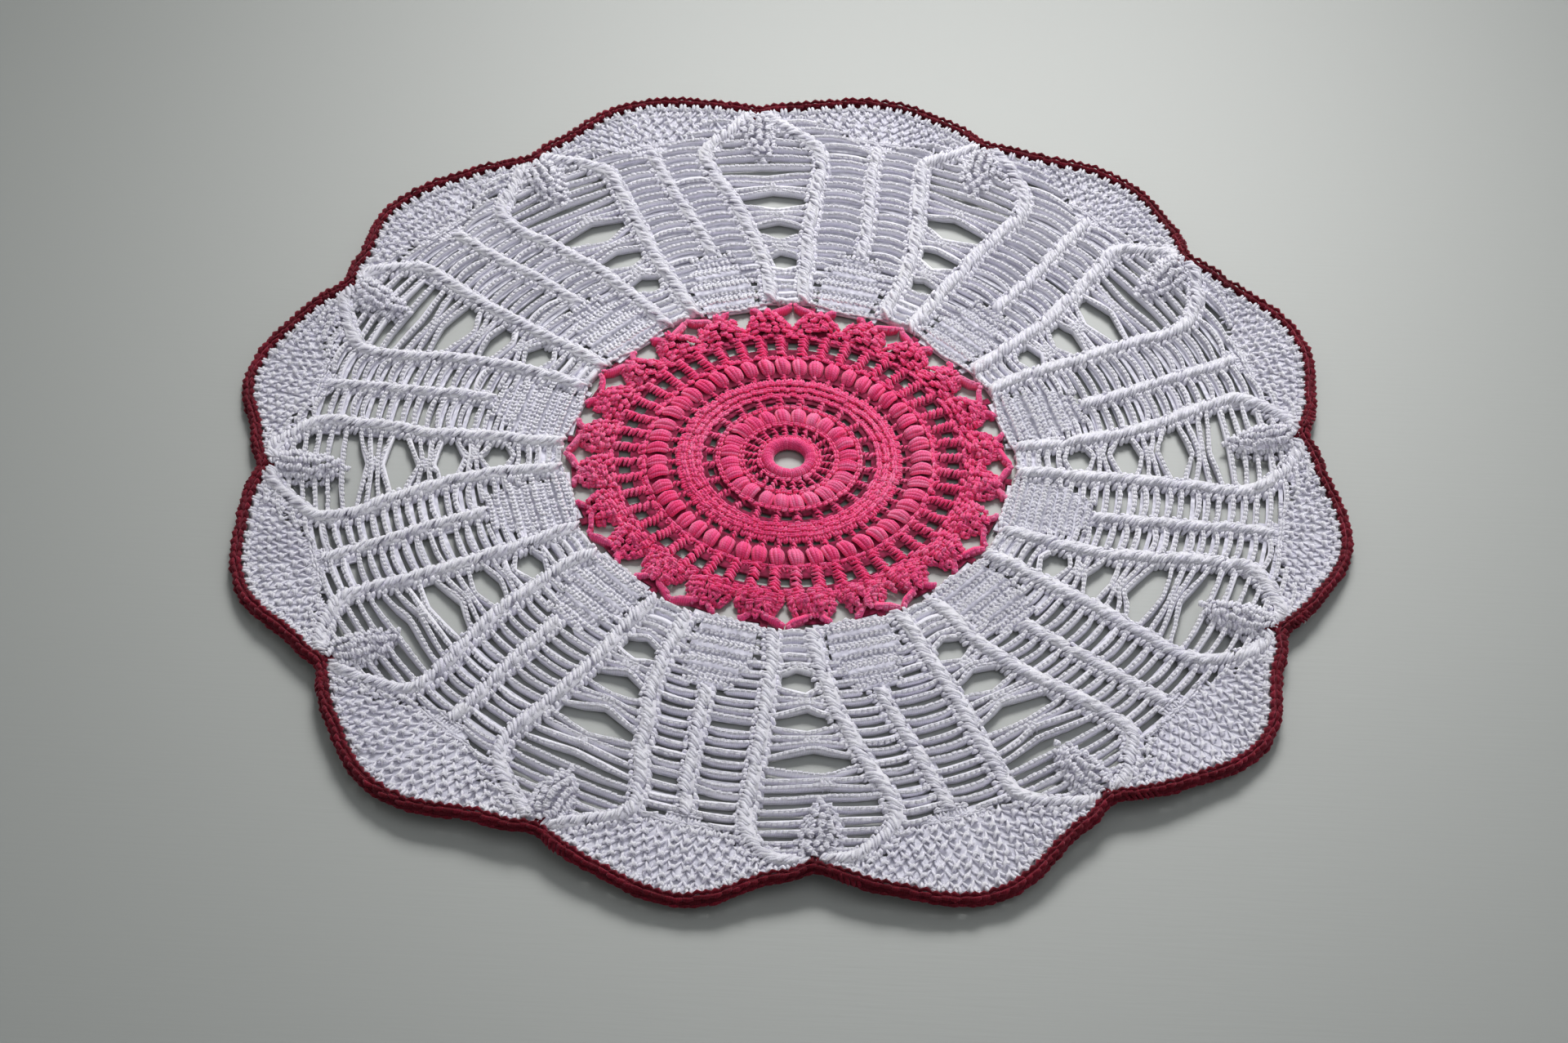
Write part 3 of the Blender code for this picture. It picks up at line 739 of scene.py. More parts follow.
# Painted shade: both grounds are darker than their yarn, and darkest between the knots.
pink_painted_shade = packed_cotton("painted_shade_cotton_pink", "#640c2c", "#a02050", 1.7)
white_painted_shade = packed_cotton("painted_shade_cotton_white", "#c6c5d1", "#e8e7ef", 1.9)
print("grounds:", pink_painted_shade.name, white_painted_shade.name)

# %% [markdown]
# The white ground
#
# Its rings run in pairs, one pair for each row of bars: the faces between the two rings of a pair lie under
# a bar, and those between two pairs are a gap. So each gap ends right beside its bar, however coarse the
# grid is. Past the bars, four more rings follow the rim more and more, and end just inside the red row.

# %% Rings of the white ground
FIRST_BAR = 0.5735
BAR_HALF = 0.0038
RINGS_BEFORE = 15
FIXED_RINGS = 44
RIM_RINGS = 4
INSIDE_EDGING = EDGING_WIDTH * 1.15 / RADIUS


def field_radius(ring, angle):
    """Radius of a ring of the white ground: fixed in the field, and drawn out to the rim past it."""
    steps = ring - RINGS_BEFORE
    inner = FIRST_BAR + steps // 2 * ROW_PITCH + np.where(steps % 2 == 0, -BAR_HALF, BAR_HALF)
    last = FIRST_BAR + (FIXED_RINGS - RINGS_BEFORE) // 2 * ROW_PITCH + BAR_HALF
    rim = np.interp(angle, RIM_ANGLES, RIM_RADII, period=360.0) - INSIDE_EDGING
    return np.where(ring <= FIXED_RINGS, inner, last + (rim - last) * (ring - FIXED_RINGS) / RIM_RINGS)


print("rings of the white ground:", FIXED_RINGS + RIM_RINGS)

# %% [markdown]
# Closed and open cloth
#
# Which faces stay is asked of the plan, for each face by the place of its middle. Under blocks, ribs, bars,
# fans and tufts the cloth is closed, and inside the leaves and between the bars it is open, because there
# the photograph shows the table through the chains.

# %% Which parts of the white field are closed
WHITE_TURNS = 240
RIB_HALF = 1.9 * MM
TUFT_HALF = 2.6 * MM
FAN_SPREAD = 1.70
RIB_BEGINS = 0.55
FOOT_ENDS = 0.450
TUFT_BEGINS = 0.815
BESIDE_SEAM = 0.004


def middle_axis(row, radius):
    """Angle of the middle rib of a sector."""
    return row.leaf + np.interp(radius, MIDDLE_RIB_RADII, MIDDLE_RIB_ANGLES)


def fan_edge(row, radius, side):
    """Angle of the edge of a lobe's fan: it opens from the end of the middle rib."""
    opened = np.degrees(np.maximum(radius - row.fan, 0.0) * FAN_SPREAD / radius)
    return middle_axis(row, radius) + side * opened


def field_kept(radius, degrees, rows):
    """True where the white cloth is closed."""
    keep = np.zeros(len(radius), dtype=bool)
    under_bar = (rows - RINGS_BEFORE) % 2 == 0
    arc = np.radians(1.0) * radius * RADIUS
    for row in sectors:
        axis = leaf_axis(row, radius)
        from_axis = (degrees - axis) % 360.0
        low = row.width * np.interp(radius, LEAF_RADII, LEAF_HALF)
        high = next_side(row, radius) - axis
        end = leaf_axis(row.after, radius) + row.wrap - axis
        middle = middle_axis(row, radius) - axis
        from_block = np.abs(from_axis + axis - row.leaf - BLOCK_MIDDLE)
        in_block = (radius < BLOCK_RADII[-1]) & (from_block < np.interp(radius, BLOCK_RADII, BLOCK_HALF))
        ribs = (np.abs(from_axis - low) * arc < RIB_HALF) | (np.abs(from_axis - high) * arc < RIB_HALF)
        ribs |= (np.abs(from_axis - middle) * arc < RIB_HALF) & (radius > RIB_BEGINS) & (radius < row.fan)
        between = (from_axis > low) & (from_axis < high)
        fan_half = fan_edge(row, radius, 1) - fan_edge(row, radius, 0)
        fan = (np.abs(from_axis + axis - fan_edge(row, radius, 0)) < fan_half) & (radius > row.fan)
        past_leaf = radius > LEAF_RADII[-1]
        foot = ~between & (radius < FOOT_ENDS)
        to_leaf = np.minimum(from_axis, np.abs(end - from_axis)) * arc
        tuft = ~between & (radius > TUFT_BEGINS) & (to_leaf < TUFT_HALF)
        closed = in_block | ribs | fan | past_leaf | foot | tuft | (between & under_bar)
        keep |= (from_axis < end) & closed
    return keep & (radius > seam_radius(degrees) + BESIDE_SEAM)


field_ground, field_area = polar_ground(
    "white_ground", WHITE_TURNS, FIXED_RINGS + RIM_RINGS, field_radius, field_kept, white_painted_shade,
    "petal_field")

# %% [markdown]
# The white field, sector by sector
#
# Each sector has the same pieces: a leaf between two ribs with knotted bars inside, a ladder on each side of
# a middle rib, a dense block at its foot and a fan at the rim. A function for each piece takes the sector's
# row of the plan. The ribs come first: the two of a leaf come together at its notch, where they are tied.

# %% Ribs
RIB_STOPS = 0.034
RIB_TIED = 0.025


def angle_course(radii, angle_of, height=0.0):
    """A course that runs outwards, with its angle given for each radius."""
    radii = np.asarray(radii, dtype=float)
    return polar(radii, np.array([float(angle_of(r)) for r in radii]), height)


def leaf_ribs(row):
    """The two ribs of a leaf, from the medallion to the notch."""
    last = min(LEAF_RADII[-1], row.notch_r - RIB_STOPS)
    for side in (1, -1):
        course = angle_course(np.linspace(0.410, last, 9), lambda r: leaf_side(row, r, side))
        tied = polar(row.notch_r - RIB_TIED, row.notch + side * 1.0)
        rib(np.vstack((course, tied)))


def middle_rib(row):
    """The rib between two ladders, which opens into the fan."""
    radii = np.linspace(MIDDLE_RIB_RADII[0], row.fan + 0.010, 6)
    rib(angle_course(radii, lambda r: middle_axis(row, r)), 0.92)


print("mm from a notch to the end of its ribs:", round(RIB_TIED * RADIUS / MM, 2))

# %% [markdown]
# Ladders
#
# The bars are chains, worked one row apart, 3.4 mm, and their ends are tucked a little under the ribs. Each
# is bowed outwards, as a chain that is a little too long for its gap. Where two ribs come so close that a
# bar would be shorter than a stitch, there is none.

# %% Ladders
LADDER_BARS = 17
LADDER_BOW = 0.006
TUCK = 0.3
BAR_RISE = 1.25
SHORTEST_BAR = 0.9


def bar_between(radius, low, high, bow=0.0):
    """A chain bar at one radius from one angle to another, bowed outwards a little."""
    if high - low < SHORTEST_BAR:
        return
    share = np.array((0.0, 0.25, 0.5, 0.75, 1.0))
    slip = rng.normal(0.0, 0.0016, 2)
    bowed = (bow + rng.normal(0.0, 0.0022)) * 4 * share * (1 - share)
    out = radius + slip[0] * (1 - share) + slip[1] * share + bowed
    heights = BAR_RISE + 0.30 * np.sin(share * math.pi) + rng.normal(0.0, 0.07, 5)
    chain(polar(out, low + (high - low) * share, heights), roll=rng.normal(0.0, 16.0))


def ladders(row):
    """The bars on both sides of the middle rib, and those that run on into the fan."""
    for step in range(LADDER_BARS):
        radius = FIRST_BAR + step * ROW_PITCH
        tuck = degrees_of(TUCK, radius)
        bar_between(radius, leaf_side(row, radius, 1) + tuck, fan_edge(row, radius, -1) - tuck, LADDER_BOW)
        bar_between(radius, fan_edge(row, radius, 1) + tuck, next_side(row, radius) - tuck, LADDER_BOW)


print("bars of a ladder:", LADDER_BARS, "from radius", FIRST_BAR, "on")

# %% [markdown]
# The leaves
#
# Inside a leaf the same bars are drawn together in the middle and tied, which opens three holes. So each bar
# has the radius of its ends, where it leaves the ribs, another one where it passes the leaf's middle, and
# the number of the tie that holds it. Ties sit a little apart from sector to sector, as hands leave them.

# %% Leaf bars
LEAF_BARS = (
    (0.4925, 0.488, None), (0.5150, 0.499, None),
    (0.5375, 0.556, 0), (0.5600, 0.565, 0), (0.5825, 0.574, 0), (0.6050, 0.583, 0),
    (0.6275, 0.640, 1), (0.6500, 0.650, 1), (0.6725, 0.659, 1), (0.6950, 0.668, 1),
    (0.7175, 0.730, 2), (0.7400, 0.740, 2), (0.7625, 0.750, 2), (0.7850, 0.760, 2),
    (0.8075, 0.804, None), (0.8300, 0.829, None), (0.8525, 0.852, None), (0.8750, 0.875, None),
    (0.8975, 0.897, None), (0.9200, 0.919, None),
)
SLIT_BAR = 0.7850
MIDDLE_WITHOUT_SLIT = 0.770
BARS_STOP = 0.032
LEAF_KNOTS = ((0.568, 0.016, 5), (0.654, 0.018, 4), (0.745, 0.018, 3))
for row in sectors:
    row.ties = [(rng.normal(0.0, 0.0035), rng.normal(0.0, 0.55)) for _ in LEAF_KNOTS]


def leaf_bars(row):
    """The chains across a leaf, drawn together at its ties."""
    for ends, middle, tie in LEAF_BARS:
        if ends > row.notch_r - BARS_STOP:
            continue
        out_by, turn_by = (0.0, 0.0) if tie is None else row.ties[tie]
        if ends == SLIT_BAR and not row.slit:
            middle = MIDDLE_WITHOUT_SLIT
        low, high = leaf_side(row, ends, -1), leaf_side(row, ends, 1)
        tuck = degrees_of(TUCK, ends)
        axis = leaf_axis(row, middle) + turn_by
        middle = middle + out_by
        share = np.array((0.0, 0.22, 0.5, 0.78, 1.0))
        pull = np.array((0.0, 0.42, 1.0, 0.42, 0.0))
        out = ends + (middle - ends) * pull + rng.normal(0.0, 0.0012, 5)
        angle = low + tuck + (high - low - 2 * tuck) * share
        angle[2] = axis + rng.normal(0.0, 0.15)
        heights = BAR_RISE + 0.45 * pull + rng.normal(0.0, 0.12, 5)
        chain(polar(out, angle, heights), roll=rng.normal(0.0, 16.0))


print("bars of a leaf:", len(LEAF_BARS), "and its ties:", len(LEAF_KNOTS))

# %% [markdown]
# Feet of the leaves
#
# A leaf begins in a few close rows between its ribs. Nearer the middle runs the first white round, whose
# stitches are worked into the last pink ones, so that the seam has no gap.

# %% Feet of the leaves and the seam
FOOT_ROWS = np.arange(0.422, 0.476, ROW_PITCH * 0.78)


def leaf_foot(row):
    """The close rows where a leaf begins, between its two ribs."""
    for radius in FOOT_ROWS:
        low, high = leaf_side(row, radius, -1) + 0.3, leaf_side(row, radius, 1) - 0.3
        sag = 0.004 * np.array((0.0, -1.0, -1.4, -1.0, 0.0))
        course = polar(radius + sag, np.linspace(low, high, 5), 1.3 + rng.normal(0.0, 0.15, 5))
        chain(course, 0.46, 1.6, roll=rng.normal(0.0, 25.0))


def seam_round(row):
    """The first white round, worked into the last pink one."""
    span = (row.after.leaf - row.leaf) % 360.0
    angles = row.leaf + np.linspace(0.0, span, 40)
    work(polar(seam_radius(angles) + 0.010, angles), 1.9, DENSE, 0.46, (1.0, 0.5, 1.0), loose=0.14)


print("close rows at the foot of a leaf:", len(FOOT_ROWS))

# %% [markdown]
# Ties and tufts
#
# A tie is a few loops over a bundle of bars, with a thread across them. Before each notch the bars of two
# sectors end in a tuft: a soft tongue of loops worked over each other, the highest thing on the cloth.

# %% Ties and tufts
KNOT_ARCH = np.array((0.3, 2.0, 2.75, 2.0, 0.3))
TUFT_FROM = 0.158
TUFT_TO = 0.024
TUFT_ROW_PITCH = 0.0098
ACROSS_TUFT = np.linspace(-1.0, 1.0, 13)
ALONG_TUFT = (0.0, 0.2, 0.6, 0.85, 1.0)
TUFT_HALVES = (1.2, 3.6, 4.9, 4.2, 2.6)
TUFT_CRESTS = (2.0, 3.6, 4.2, 3.5, 2.0)


def leaf_knots(row):
    """The loops that tie the bars of a leaf together: they pass over the bundle and round it."""
    for (radius, width, loops), (out_by, turn_by) in zip(LEAF_KNOTS, row.ties):
        axis = leaf_axis(row, radius) + turn_by
        radius = radius + out_by
        for i in range(loops):
            shift = (i - (loops - 1) / 2) * 0.95 + rng.normal(0.0, 0.12)
            angle = axis + degrees_of(shift, radius)
            skew = degrees_of(rng.normal(0.0, 0.5), radius)
            share = np.linspace(-1.0, 1.0, 5)
            heights = KNOT_ARCH + rng.normal(0.0, 0.12)
            path = polar(radius + share * width * 0.62, angle + skew * share, heights)
            # The loops over the bundle are painted a little lighter, as painted highlight.
            lay(BAR, path[None], 0.50, lean=0.04)
            out = radius + rng.normal(0.0, 0.004, 4)
            cross = polar(out, axis + np.linspace(-1.6, 1.6, 4), 2.1 + rng.normal(0.0, 0.2, 4))
            lay(LEG, cross[None], 0.45)


def tuft(row):
    """The soft raised tongue before a notch: rows of loops worked over each other."""
    start, end = row.notch_r - TUFT_FROM, row.notch_r - TUFT_TO
    for radius in np.arange(start, end, TUFT_ROW_PITCH):
        share = (radius - start) / (end - start)
        half = np.interp(share, ALONG_TUFT, TUFT_HALVES)
        crest = np.interp(share, ALONG_TUFT, TUFT_CRESTS)
        angle = leaf_axis(row, radius) + degrees_of(ACROSS_TUFT * half, radius)
        height = crest * (1.0 - np.abs(ACROSS_TUFT) ** 2.4) - 0.5
        arch = polar(radius + 0.010 * ACROSS_TUFT ** 2, angle, height)
        # The tuft's loops are painted a little lighter, as painted highlight.
        work(arch, 1.9, CHAIN, 0.60, (1.3, 1.9, 1.3), 0.3, loose=0.26, lean=0.02)


print("width and height of a tuft in mm:", 2 * max(TUFT_HALVES), max(TUFT_CRESTS))

# %% [markdown]
# Blocks
#
# A block is worked back and forth, so its rows show as lines of small Vs. Some of its rows stand higher than
# others, as ridges across the block. Short bars fill the corners between the block and the two leaves.

# %% Dense blocks
BLOCK_FOOT = 0.414
BLOCK_LINES = 11
BLOCK_LINE_PITCH = 0.0138
BLOCK_RIDGES = (0.4, 1.5, 0.2, 0.0, 1.5, 0.3, 0.0, 1.3, 0.1, 0.2, 0.9)
CORNER_FROM = 0.4925
CORNER_BARS = 4


def block(row):
    """The dense block between the feet of two leaves, and the short bars beside it."""
    middle = row.leaf + BLOCK_MIDDLE
    for step in range(BLOCK_LINES):
        radius = BLOCK_FOOT + step * BLOCK_LINE_PITCH
        half = np.interp(radius, BLOCK_RADII, BLOCK_HALF) + 1.0
        share = np.linspace(-1.0, 1.0, 14)
        ridge = BLOCK_RIDGES[step]
        height = 0.55 + ridge - 0.5 * share ** 4
        course = polar(radius - 0.004 * np.cos(1.5 * share), middle + half * share, height)
        # Higher rows are painted lighter, as painted highlight, and the lowest a little darker, as painted
        # shade.
        work(course, 1.35, SMALL, 0.52, strand=BEAD, lean=0.08 * ridge - 0.02)
    for step in range(CORNER_BARS):
        radius = CORNER_FROM + step * ROW_PITCH
        half = np.interp(radius, BLOCK_RADII, BLOCK_HALF)
        bar_between(radius, leaf_side(row, radius, 1), middle - half + 0.6)
        bar_between(radius, middle + half - 0.6, next_side(row, radius))


print("rows of a block:", BLOCK_LINES, "and mm from row to row:", round(BLOCK_LINE_PITCH * RADIUS / MM, 2))

# %% [markdown]
# Fans
#
# The fan is worked round the end of the middle rib in ever longer rows, with wider stitches, and its last
# row lies along the rim. There the points of its stitches are drawn over the red row, and hold it.

# %% Fans and the last white row
FAN_ROW_PITCH = 0.0190
FAN_END = 0.995
INSIDE_RIM = 0.022
POINT_EVERY = 6


def fan(row):
    """The rows of a lobe's fan, each a step nearer to the rim's own curve. It begins in dense stitches and
    goes on as a net, whose knots stand over the hollows of the row before."""
    rows = round((FAN_END - row.fan) / FAN_ROW_PITCH)
    for step in range(rows):
        share = (step + 0.6) / rows
        radius = row.fan + (FAN_END - row.fan) * share
        beside = min(radius, LEAF_RADII[-1])
        low = max(fan_edge(row, radius, -1) - 0.6, leaf_side(row, beside, 1) + 0.4)
        high = min(fan_edge(row, radius, 1) + 0.6, next_side(row, beside) - 0.4)
        angles = np.linspace(low, high, 24)
        rim = np.interp(angles, RIM_ANGLES, RIM_RADII, period=360.0) - INSIDE_RIM
        course = polar(row.fan + (rim - row.fan) * share, angles)
        if step < 2:
            work(course, 1.7, DENSE, 0.46, (0.95, 0.9, 1.0), loose=0.14)
        else:
            work(course, 3.5, NET, NET_THICK, loose=0.16, phase=0.5 if step % 2 else 0.02, lean=NET_PAINTED_LIGHT)


def rim_row(row):
    """The last white row beside the red one, with the points of its stitches drawn over the red."""
    course = rim_curve(EDGING_WIDTH + 0.9 * MM)
    inner = rim_curve(EDGING_WIDTH * 0.78)
    angles = np.degrees(np.arctan2(course[:, 1], course[:, 0])) % 360.0
    span = (row.after.notch - row.notch) % 360.0
    mine = np.flatnonzero((angles - row.notch) % 360.0 < span)
    start = np.flatnonzero(np.diff(mine) > 1)
    mine = np.roll(mine, -(start[0] + 1)) if len(start) else mine
    work(course[mine], 2.2, DENSE, 0.50, (1.1, -0.9, 0.85), loose=0.14)
    for i in mine[::POINT_EVERY]:
        tip = inner[i] + UP * 2.5 * MM
        root = course[i] + (course[i] - inner[i]) * 0.7 + UP * 1.8 * MM
        for shift in (-0.45, 0.45):
            loop = np.stack((root, (root + tip) / 2 + UP * 0.50 * MM, tip))
            beside = unit(np.cross(UP, tip - root)) * shift * MM
            # The points over the red are painted a little lighter, as painted highlight.
            lay(BEAD, (loop + beside * np.array((0.6, 1.5, 0.6))[:, None])[None], 0.54, lean=0.06)


print("rows of the first fan:", round((FAN_END - sectors[0].fan) / FAN_ROW_PITCH))

# %% [markdown]
# Twelve sectors
#
# One sector after another is worked, piece by piece, and each becomes a mesh of its own.

# %% Working the white field
SECTOR_PIECES = (
    leaf_ribs, middle_rib, ladders, leaf_bars, leaf_foot, seam_round, leaf_knots, tuft, block, fan, rim_row,
)


def white_sector(number, row):
    """All the yarn from one leaf to the next."""
    for piece_of in SECTOR_PIECES:
        piece_of(row)
    return finish_piece(f"white_sector_{number:02d}", white_yarn, "petal_field")


white_pieces = [white_sector(number, row) for number, row in enumerate(sectors, 1)]

# %% [markdown]
# The red row
#
# One row of single crochet closes the rim. From above it is a plait of Vs, and from the side its stitches
# stand like a low wall with a second, flatter plait at the foot. A core of overlapping strands fills it.

# %% The edging
CORE_STRANDS = 120
CORE_OVERLAP = 5
BULGE_LOOPS = 6


def notch_knot(row, ring):
    """Where two lobes meet: a stitch drawn far into the cloth, and a bulge of loops beside it."""
    degrees = np.degrees(np.arctan2(ring[:, 1], ring[:, 0]))
    at = int(np.argmin(np.abs((degrees - row.notch + 180.0) % 360.0 - 180.0)))
    inward = -unit(ring[at] * (1.0, 1.0, 0.0))
    along = unit(ring[(at + 3) % len(ring)] - ring[at - 3])
    # The stitch drawn into the cloth is painted a little darker, as painted shade, and the loops of the bulge
    # lighter, as painted highlight.
    for shift in (-0.6, 0.5):
        spike = [ring[at] + (along * (shift + s * 0.4) + inward * d + UP * h) * MM
                 for s, d, h in ((0.0, -1.3, 1.2), (0.5, 0.8, 2.7), (0.8, 2.6, 2.5), (0.6, 4.6, 1.7))]
        lay(LEG, np.array(spike)[None], 0.72, lean=-0.03)
    for step in range(BULGE_LOOPS):
        here = ring[(at + 4 + step * 2) % len(ring)]
        out = 0.9 * math.sin((step + 0.5) / BULGE_LOOPS * math.pi)
        loop = [here + (inward * (d - out) + along * s + UP * h) * MM
                for d, s, h in ((1.3, -0.3, 1.0), (0.9, 0.1, 2.6), (-0.9, 0.5, 2.7), (-1.9, 0.8, 0.9))]
        lay(LEG, np.array(loop)[None], 0.80, lean=0.05)


def closed_rim(share):
    """The rim's course at a share of the red row's width, with its first point again at its end."""
    ring = rim_curve(EDGING_WIDTH * share)
    return np.vstack((ring, ring[:1]))


def edging():
    """The dark red row along the rim."""
    middle, foot = closed_rim(0.50), closed_rim(0.14)
    for part in np.array_split(np.arange(len(middle)), CORE_STRANDS):
        stretch = middle[max(part[0] - CORE_OVERLAP, 0):part[-1] + CORE_OVERLAP + 1]
        # The core under the plaits is painted darker, as painted shade.
        lay(BAR, smooth(stretch + UP * 1.60 * MM, 4)[None], 1.40, flat=1.05, lean=-0.1)
    work(middle, 2.4, CHAIN, 0.74, (2.4, 3.0, 0.8), 2.10, loose=0.14)
    work(foot, 2.4, CHAIN, 0.56, (2.4, 1.5, 0.6), 0.60, loose=0.12)
    for row in sectors:
        notch_knot(row, middle[:-1])
    return finish_piece("red_edging", red_yarn, "edging")


edging_piece = edging()

# %% [markdown]
# The medallion
#
# The pink middle is a 24-fold pattern in rounds: an eyelet, bars, puffs, a round of square holes, dense
# rounds, small holes, puffs again, fat pillars, and pointed shells. Its ground comes first, and each round
# of holes is left out of it.

# %% Which parts of the medallion are closed
MEDALLION_RINGS = 36
MEDALLION_TURNS = 192
MEDALLION_RADIUS = 0.412

# Each round of holes: where it begins and ends, half a hole's angle, and how many it has to a shell
HOLE_ROUNDS = ((0.060, 0.076, 4.0, 1), (0.134, 0.154, 3.9, 1), (0.204, 0.218, 1.9, 2), (0.288, 0.312, 2.2, 2))
GAP_RADII = (0.329, 0.350, 0.377, 0.395)
GAP_HALF = (0.0, 3.4, 4.6, 4.6)


def medallion_radius(ring, angle):
    """Radius of a ring of the pink ground, which is the same whatever the angle."""
    return EYELET_RADIUS + 0.003 + ring * (MEDALLION_RADIUS - EYELET_RADIUS) / MEDALLION_RINGS


def medallion_kept(radius, degrees, rows):
    """True where the pink cloth is closed: places alone settle it, whatever row of faces they are in."""
    closed = radius < seam_radius(degrees) - BESIDE_SEAM
    for inner, outer, half, to_a_shell in HOLE_ROUNDS:
        pitch = SHELL_PITCH / to_a_shell
        from_hole = (degrees - MEDALLION_TURN + pitch / 2) % pitch - pitch / 2
        closed &= ~((radius > inner) & (radius < outer) & (np.abs(from_hole) < half))
    from_gap = (degrees - MEDALLION_TURN + SHELL_PITCH / 2) % SHELL_PITCH - SHELL_PITCH / 2
    in_gap = (radius > GAP_RADII[0]) & (np.abs(from_gap) < np.interp(radius, GAP_RADII, GAP_HALF))
    return closed & ~in_gap


medallion_ground, medallion_area = polar_ground(
    "pink_ground", MEDALLION_TURNS, MEDALLION_RINGS, medallion_radius, medallion_kept, pink_painted_shade,
    "medallion")

# %% [markdown]
# Puffs and pillars
#
# A puff is several loops drawn up through one hole and closed together, so its strands lie side by side and
# bulge. A pillar is a tall stitch with the yarn wound round it. Both are placed by a count round the circle,
# which begins half a step on from the medallion's turn, so that they stand between its holes.

# %% Puffs and pillars
def circle(radius, height=0.0):
    """A full turn at one radius, counter-clockwise."""
    return polar(radius, MEDALLION_TURN + np.linspace(0.0, 360.0, 361), height)


def puffs(count, inner, outer, strands, width, thick, rise, slant, pinch, ends=1.1):
    """Puffs on radial lines: their strands lie side by side, closer at both ends, and slant a little."""
    share = np.array((0.0, 0.2, 0.5, 0.8, 1.0))
    bulge = np.sin(share * math.pi)
    paths = []
    for i in range(count):
        middle = MEDALLION_TURN + 180.0 / count + i * 360.0 / count
        wander = rng.normal(0.0, 0.20, 2)
        for off in np.linspace(-0.5, 0.5, strands) * width:
            radius = inner + (outer - inner) * share
            swing = off * (pinch + (1.0 - pinch) * bulge) + slant * (share - 0.5)
            swing = swing + wander[0] + rng.normal(0.0, 0.07)
            height = ends + (rise + wander[1] + rng.normal(0.0, 0.12) - ends) * bulge
            height = height - 0.8 * (off / width * 2) ** 2 * bulge
            paths.append(polar(radius, middle + degrees_of(swing, radius), height))
    # The puffs are painted a little lighter, as painted highlight.
    lay(CORE, np.array(paths), thick, lean=0.05)


def columns(count, inner, outer, wide, high, thick):
    """Posts along radial lines, each wound with slanting strands."""
    for i in range(count):
        angle = MEDALLION_TURN + 180.0 / count + i * 360.0 / count + rng.normal(0.0, 0.12)
        post = polar(np.linspace(inner, outer, 6), angle)
        work(post, 1.15, TWIST, thick, (1.0, wide, high), loose=0.12)


print("mm from puff to puff in the outer round:", round(math.tau * 0.240 * RADIUS / 48 / MM, 1))

# %% [markdown]
# Rounds of the medallion
#
# The rounds are worked from the eyelet outwards. First the eyelet's rim is bound over with slanting loops.
# Then come posts, puffs and plaited rounds in turn, each at its own radius.

# %% Rounds of the medallion
EYELET_LOOPS = 66


def medallion_rounds():
    """All rounds from the eyelet to the pillars."""
    share = np.array((0.0, 0.12, 0.45, 0.8, 1.0))
    turns = np.linspace(0.0, 360.0, EYELET_LOOPS, endpoint=False)[:, None]
    turns = turns + rng.normal(0.0, 0.5, (EYELET_LOOPS, 1))
    height = np.array((0.5, 2.3, 3.2, 2.7, 1.5)) + rng.normal(0.0, 0.07, (EYELET_LOOPS, 1))
    lay(BAR, polar(EYELET_RADIUS + 0.022 * share, turns + 4.0 * share, height), 0.58)
    work(circle(0.037), 1.4, CORD, 1.1)
    work(circle(0.054), 1.5, CHAIN, 0.50, (1.1, 1.5, 1.2), up_by=1.0, strand=BEAD, loose=0.12)
    columns(24, 0.058, 0.092, wide=0.62, high=1.00, thick=0.46)
    work(circle(0.086), 1.6, CHAIN, 0.46, (1.1, 1.5, 1.2), up_by=1.2, strand=BEAD, loose=0.12)
    puffs(24, 0.088, 0.128, strands=5, width=2.80, thick=0.74, rise=3.1, slant=0.6, pinch=0.76)
    work(circle(0.129), 1.6, CHAIN, 0.46, (1.1, 1.4, 1.0), up_by=1.5, strand=BEAD, loose=0.10)
    columns(24, 0.130, 0.160, wide=0.80, high=0.90, thick=0.48)
    for radius, rise in ((0.163, 0.95), (0.177, 1.15), (0.191, 1.25)):
        work(circle(radius), 1.6, DENSE, 0.50, (0.95, 0.75, rise), strand=BEAD, loose=0.14)
    columns(48, 0.198, 0.226, wide=0.55, high=0.85, thick=0.45)
    puffs(48, 0.220, 0.260, strands=4, width=2.75, thick=0.78, rise=3.3, slant=1.0, pinch=0.55)
    # This low round between the puffs and the pillars is painted a little darker, as painted shade.
    work(circle(0.263), 1.9, DENSE, 0.46, (0.95, 0.50, 1.0), strand=BEAD, loose=0.18, lean=-0.04)
    columns(48, 0.266, 0.322, wide=1.08, high=1.12, thick=0.62)
    work(circle(0.320), 1.8, DENSE, 0.50, (0.95, 0.60, 1.0), strand=BEAD, loose=0.26)


print("loops round the eyelet:", EYELET_LOOPS)

# %% [markdown]
# Shells
#
# Each shell is five rows that grow shorter to its point. From the point a short chain reaches out on both
# sides to the white. Two chains meet at the foot of each leaf, and between two leaves they end apart.

# %% Shells and their arms
SHELL_ROWS = (
    (0.331, 6.5, 1.10), (0.342, 5.8, 1.30), (0.353, 4.8, 1.40), (0.364, 3.6, 1.30), (0.375, 2.2, 1.05),
)


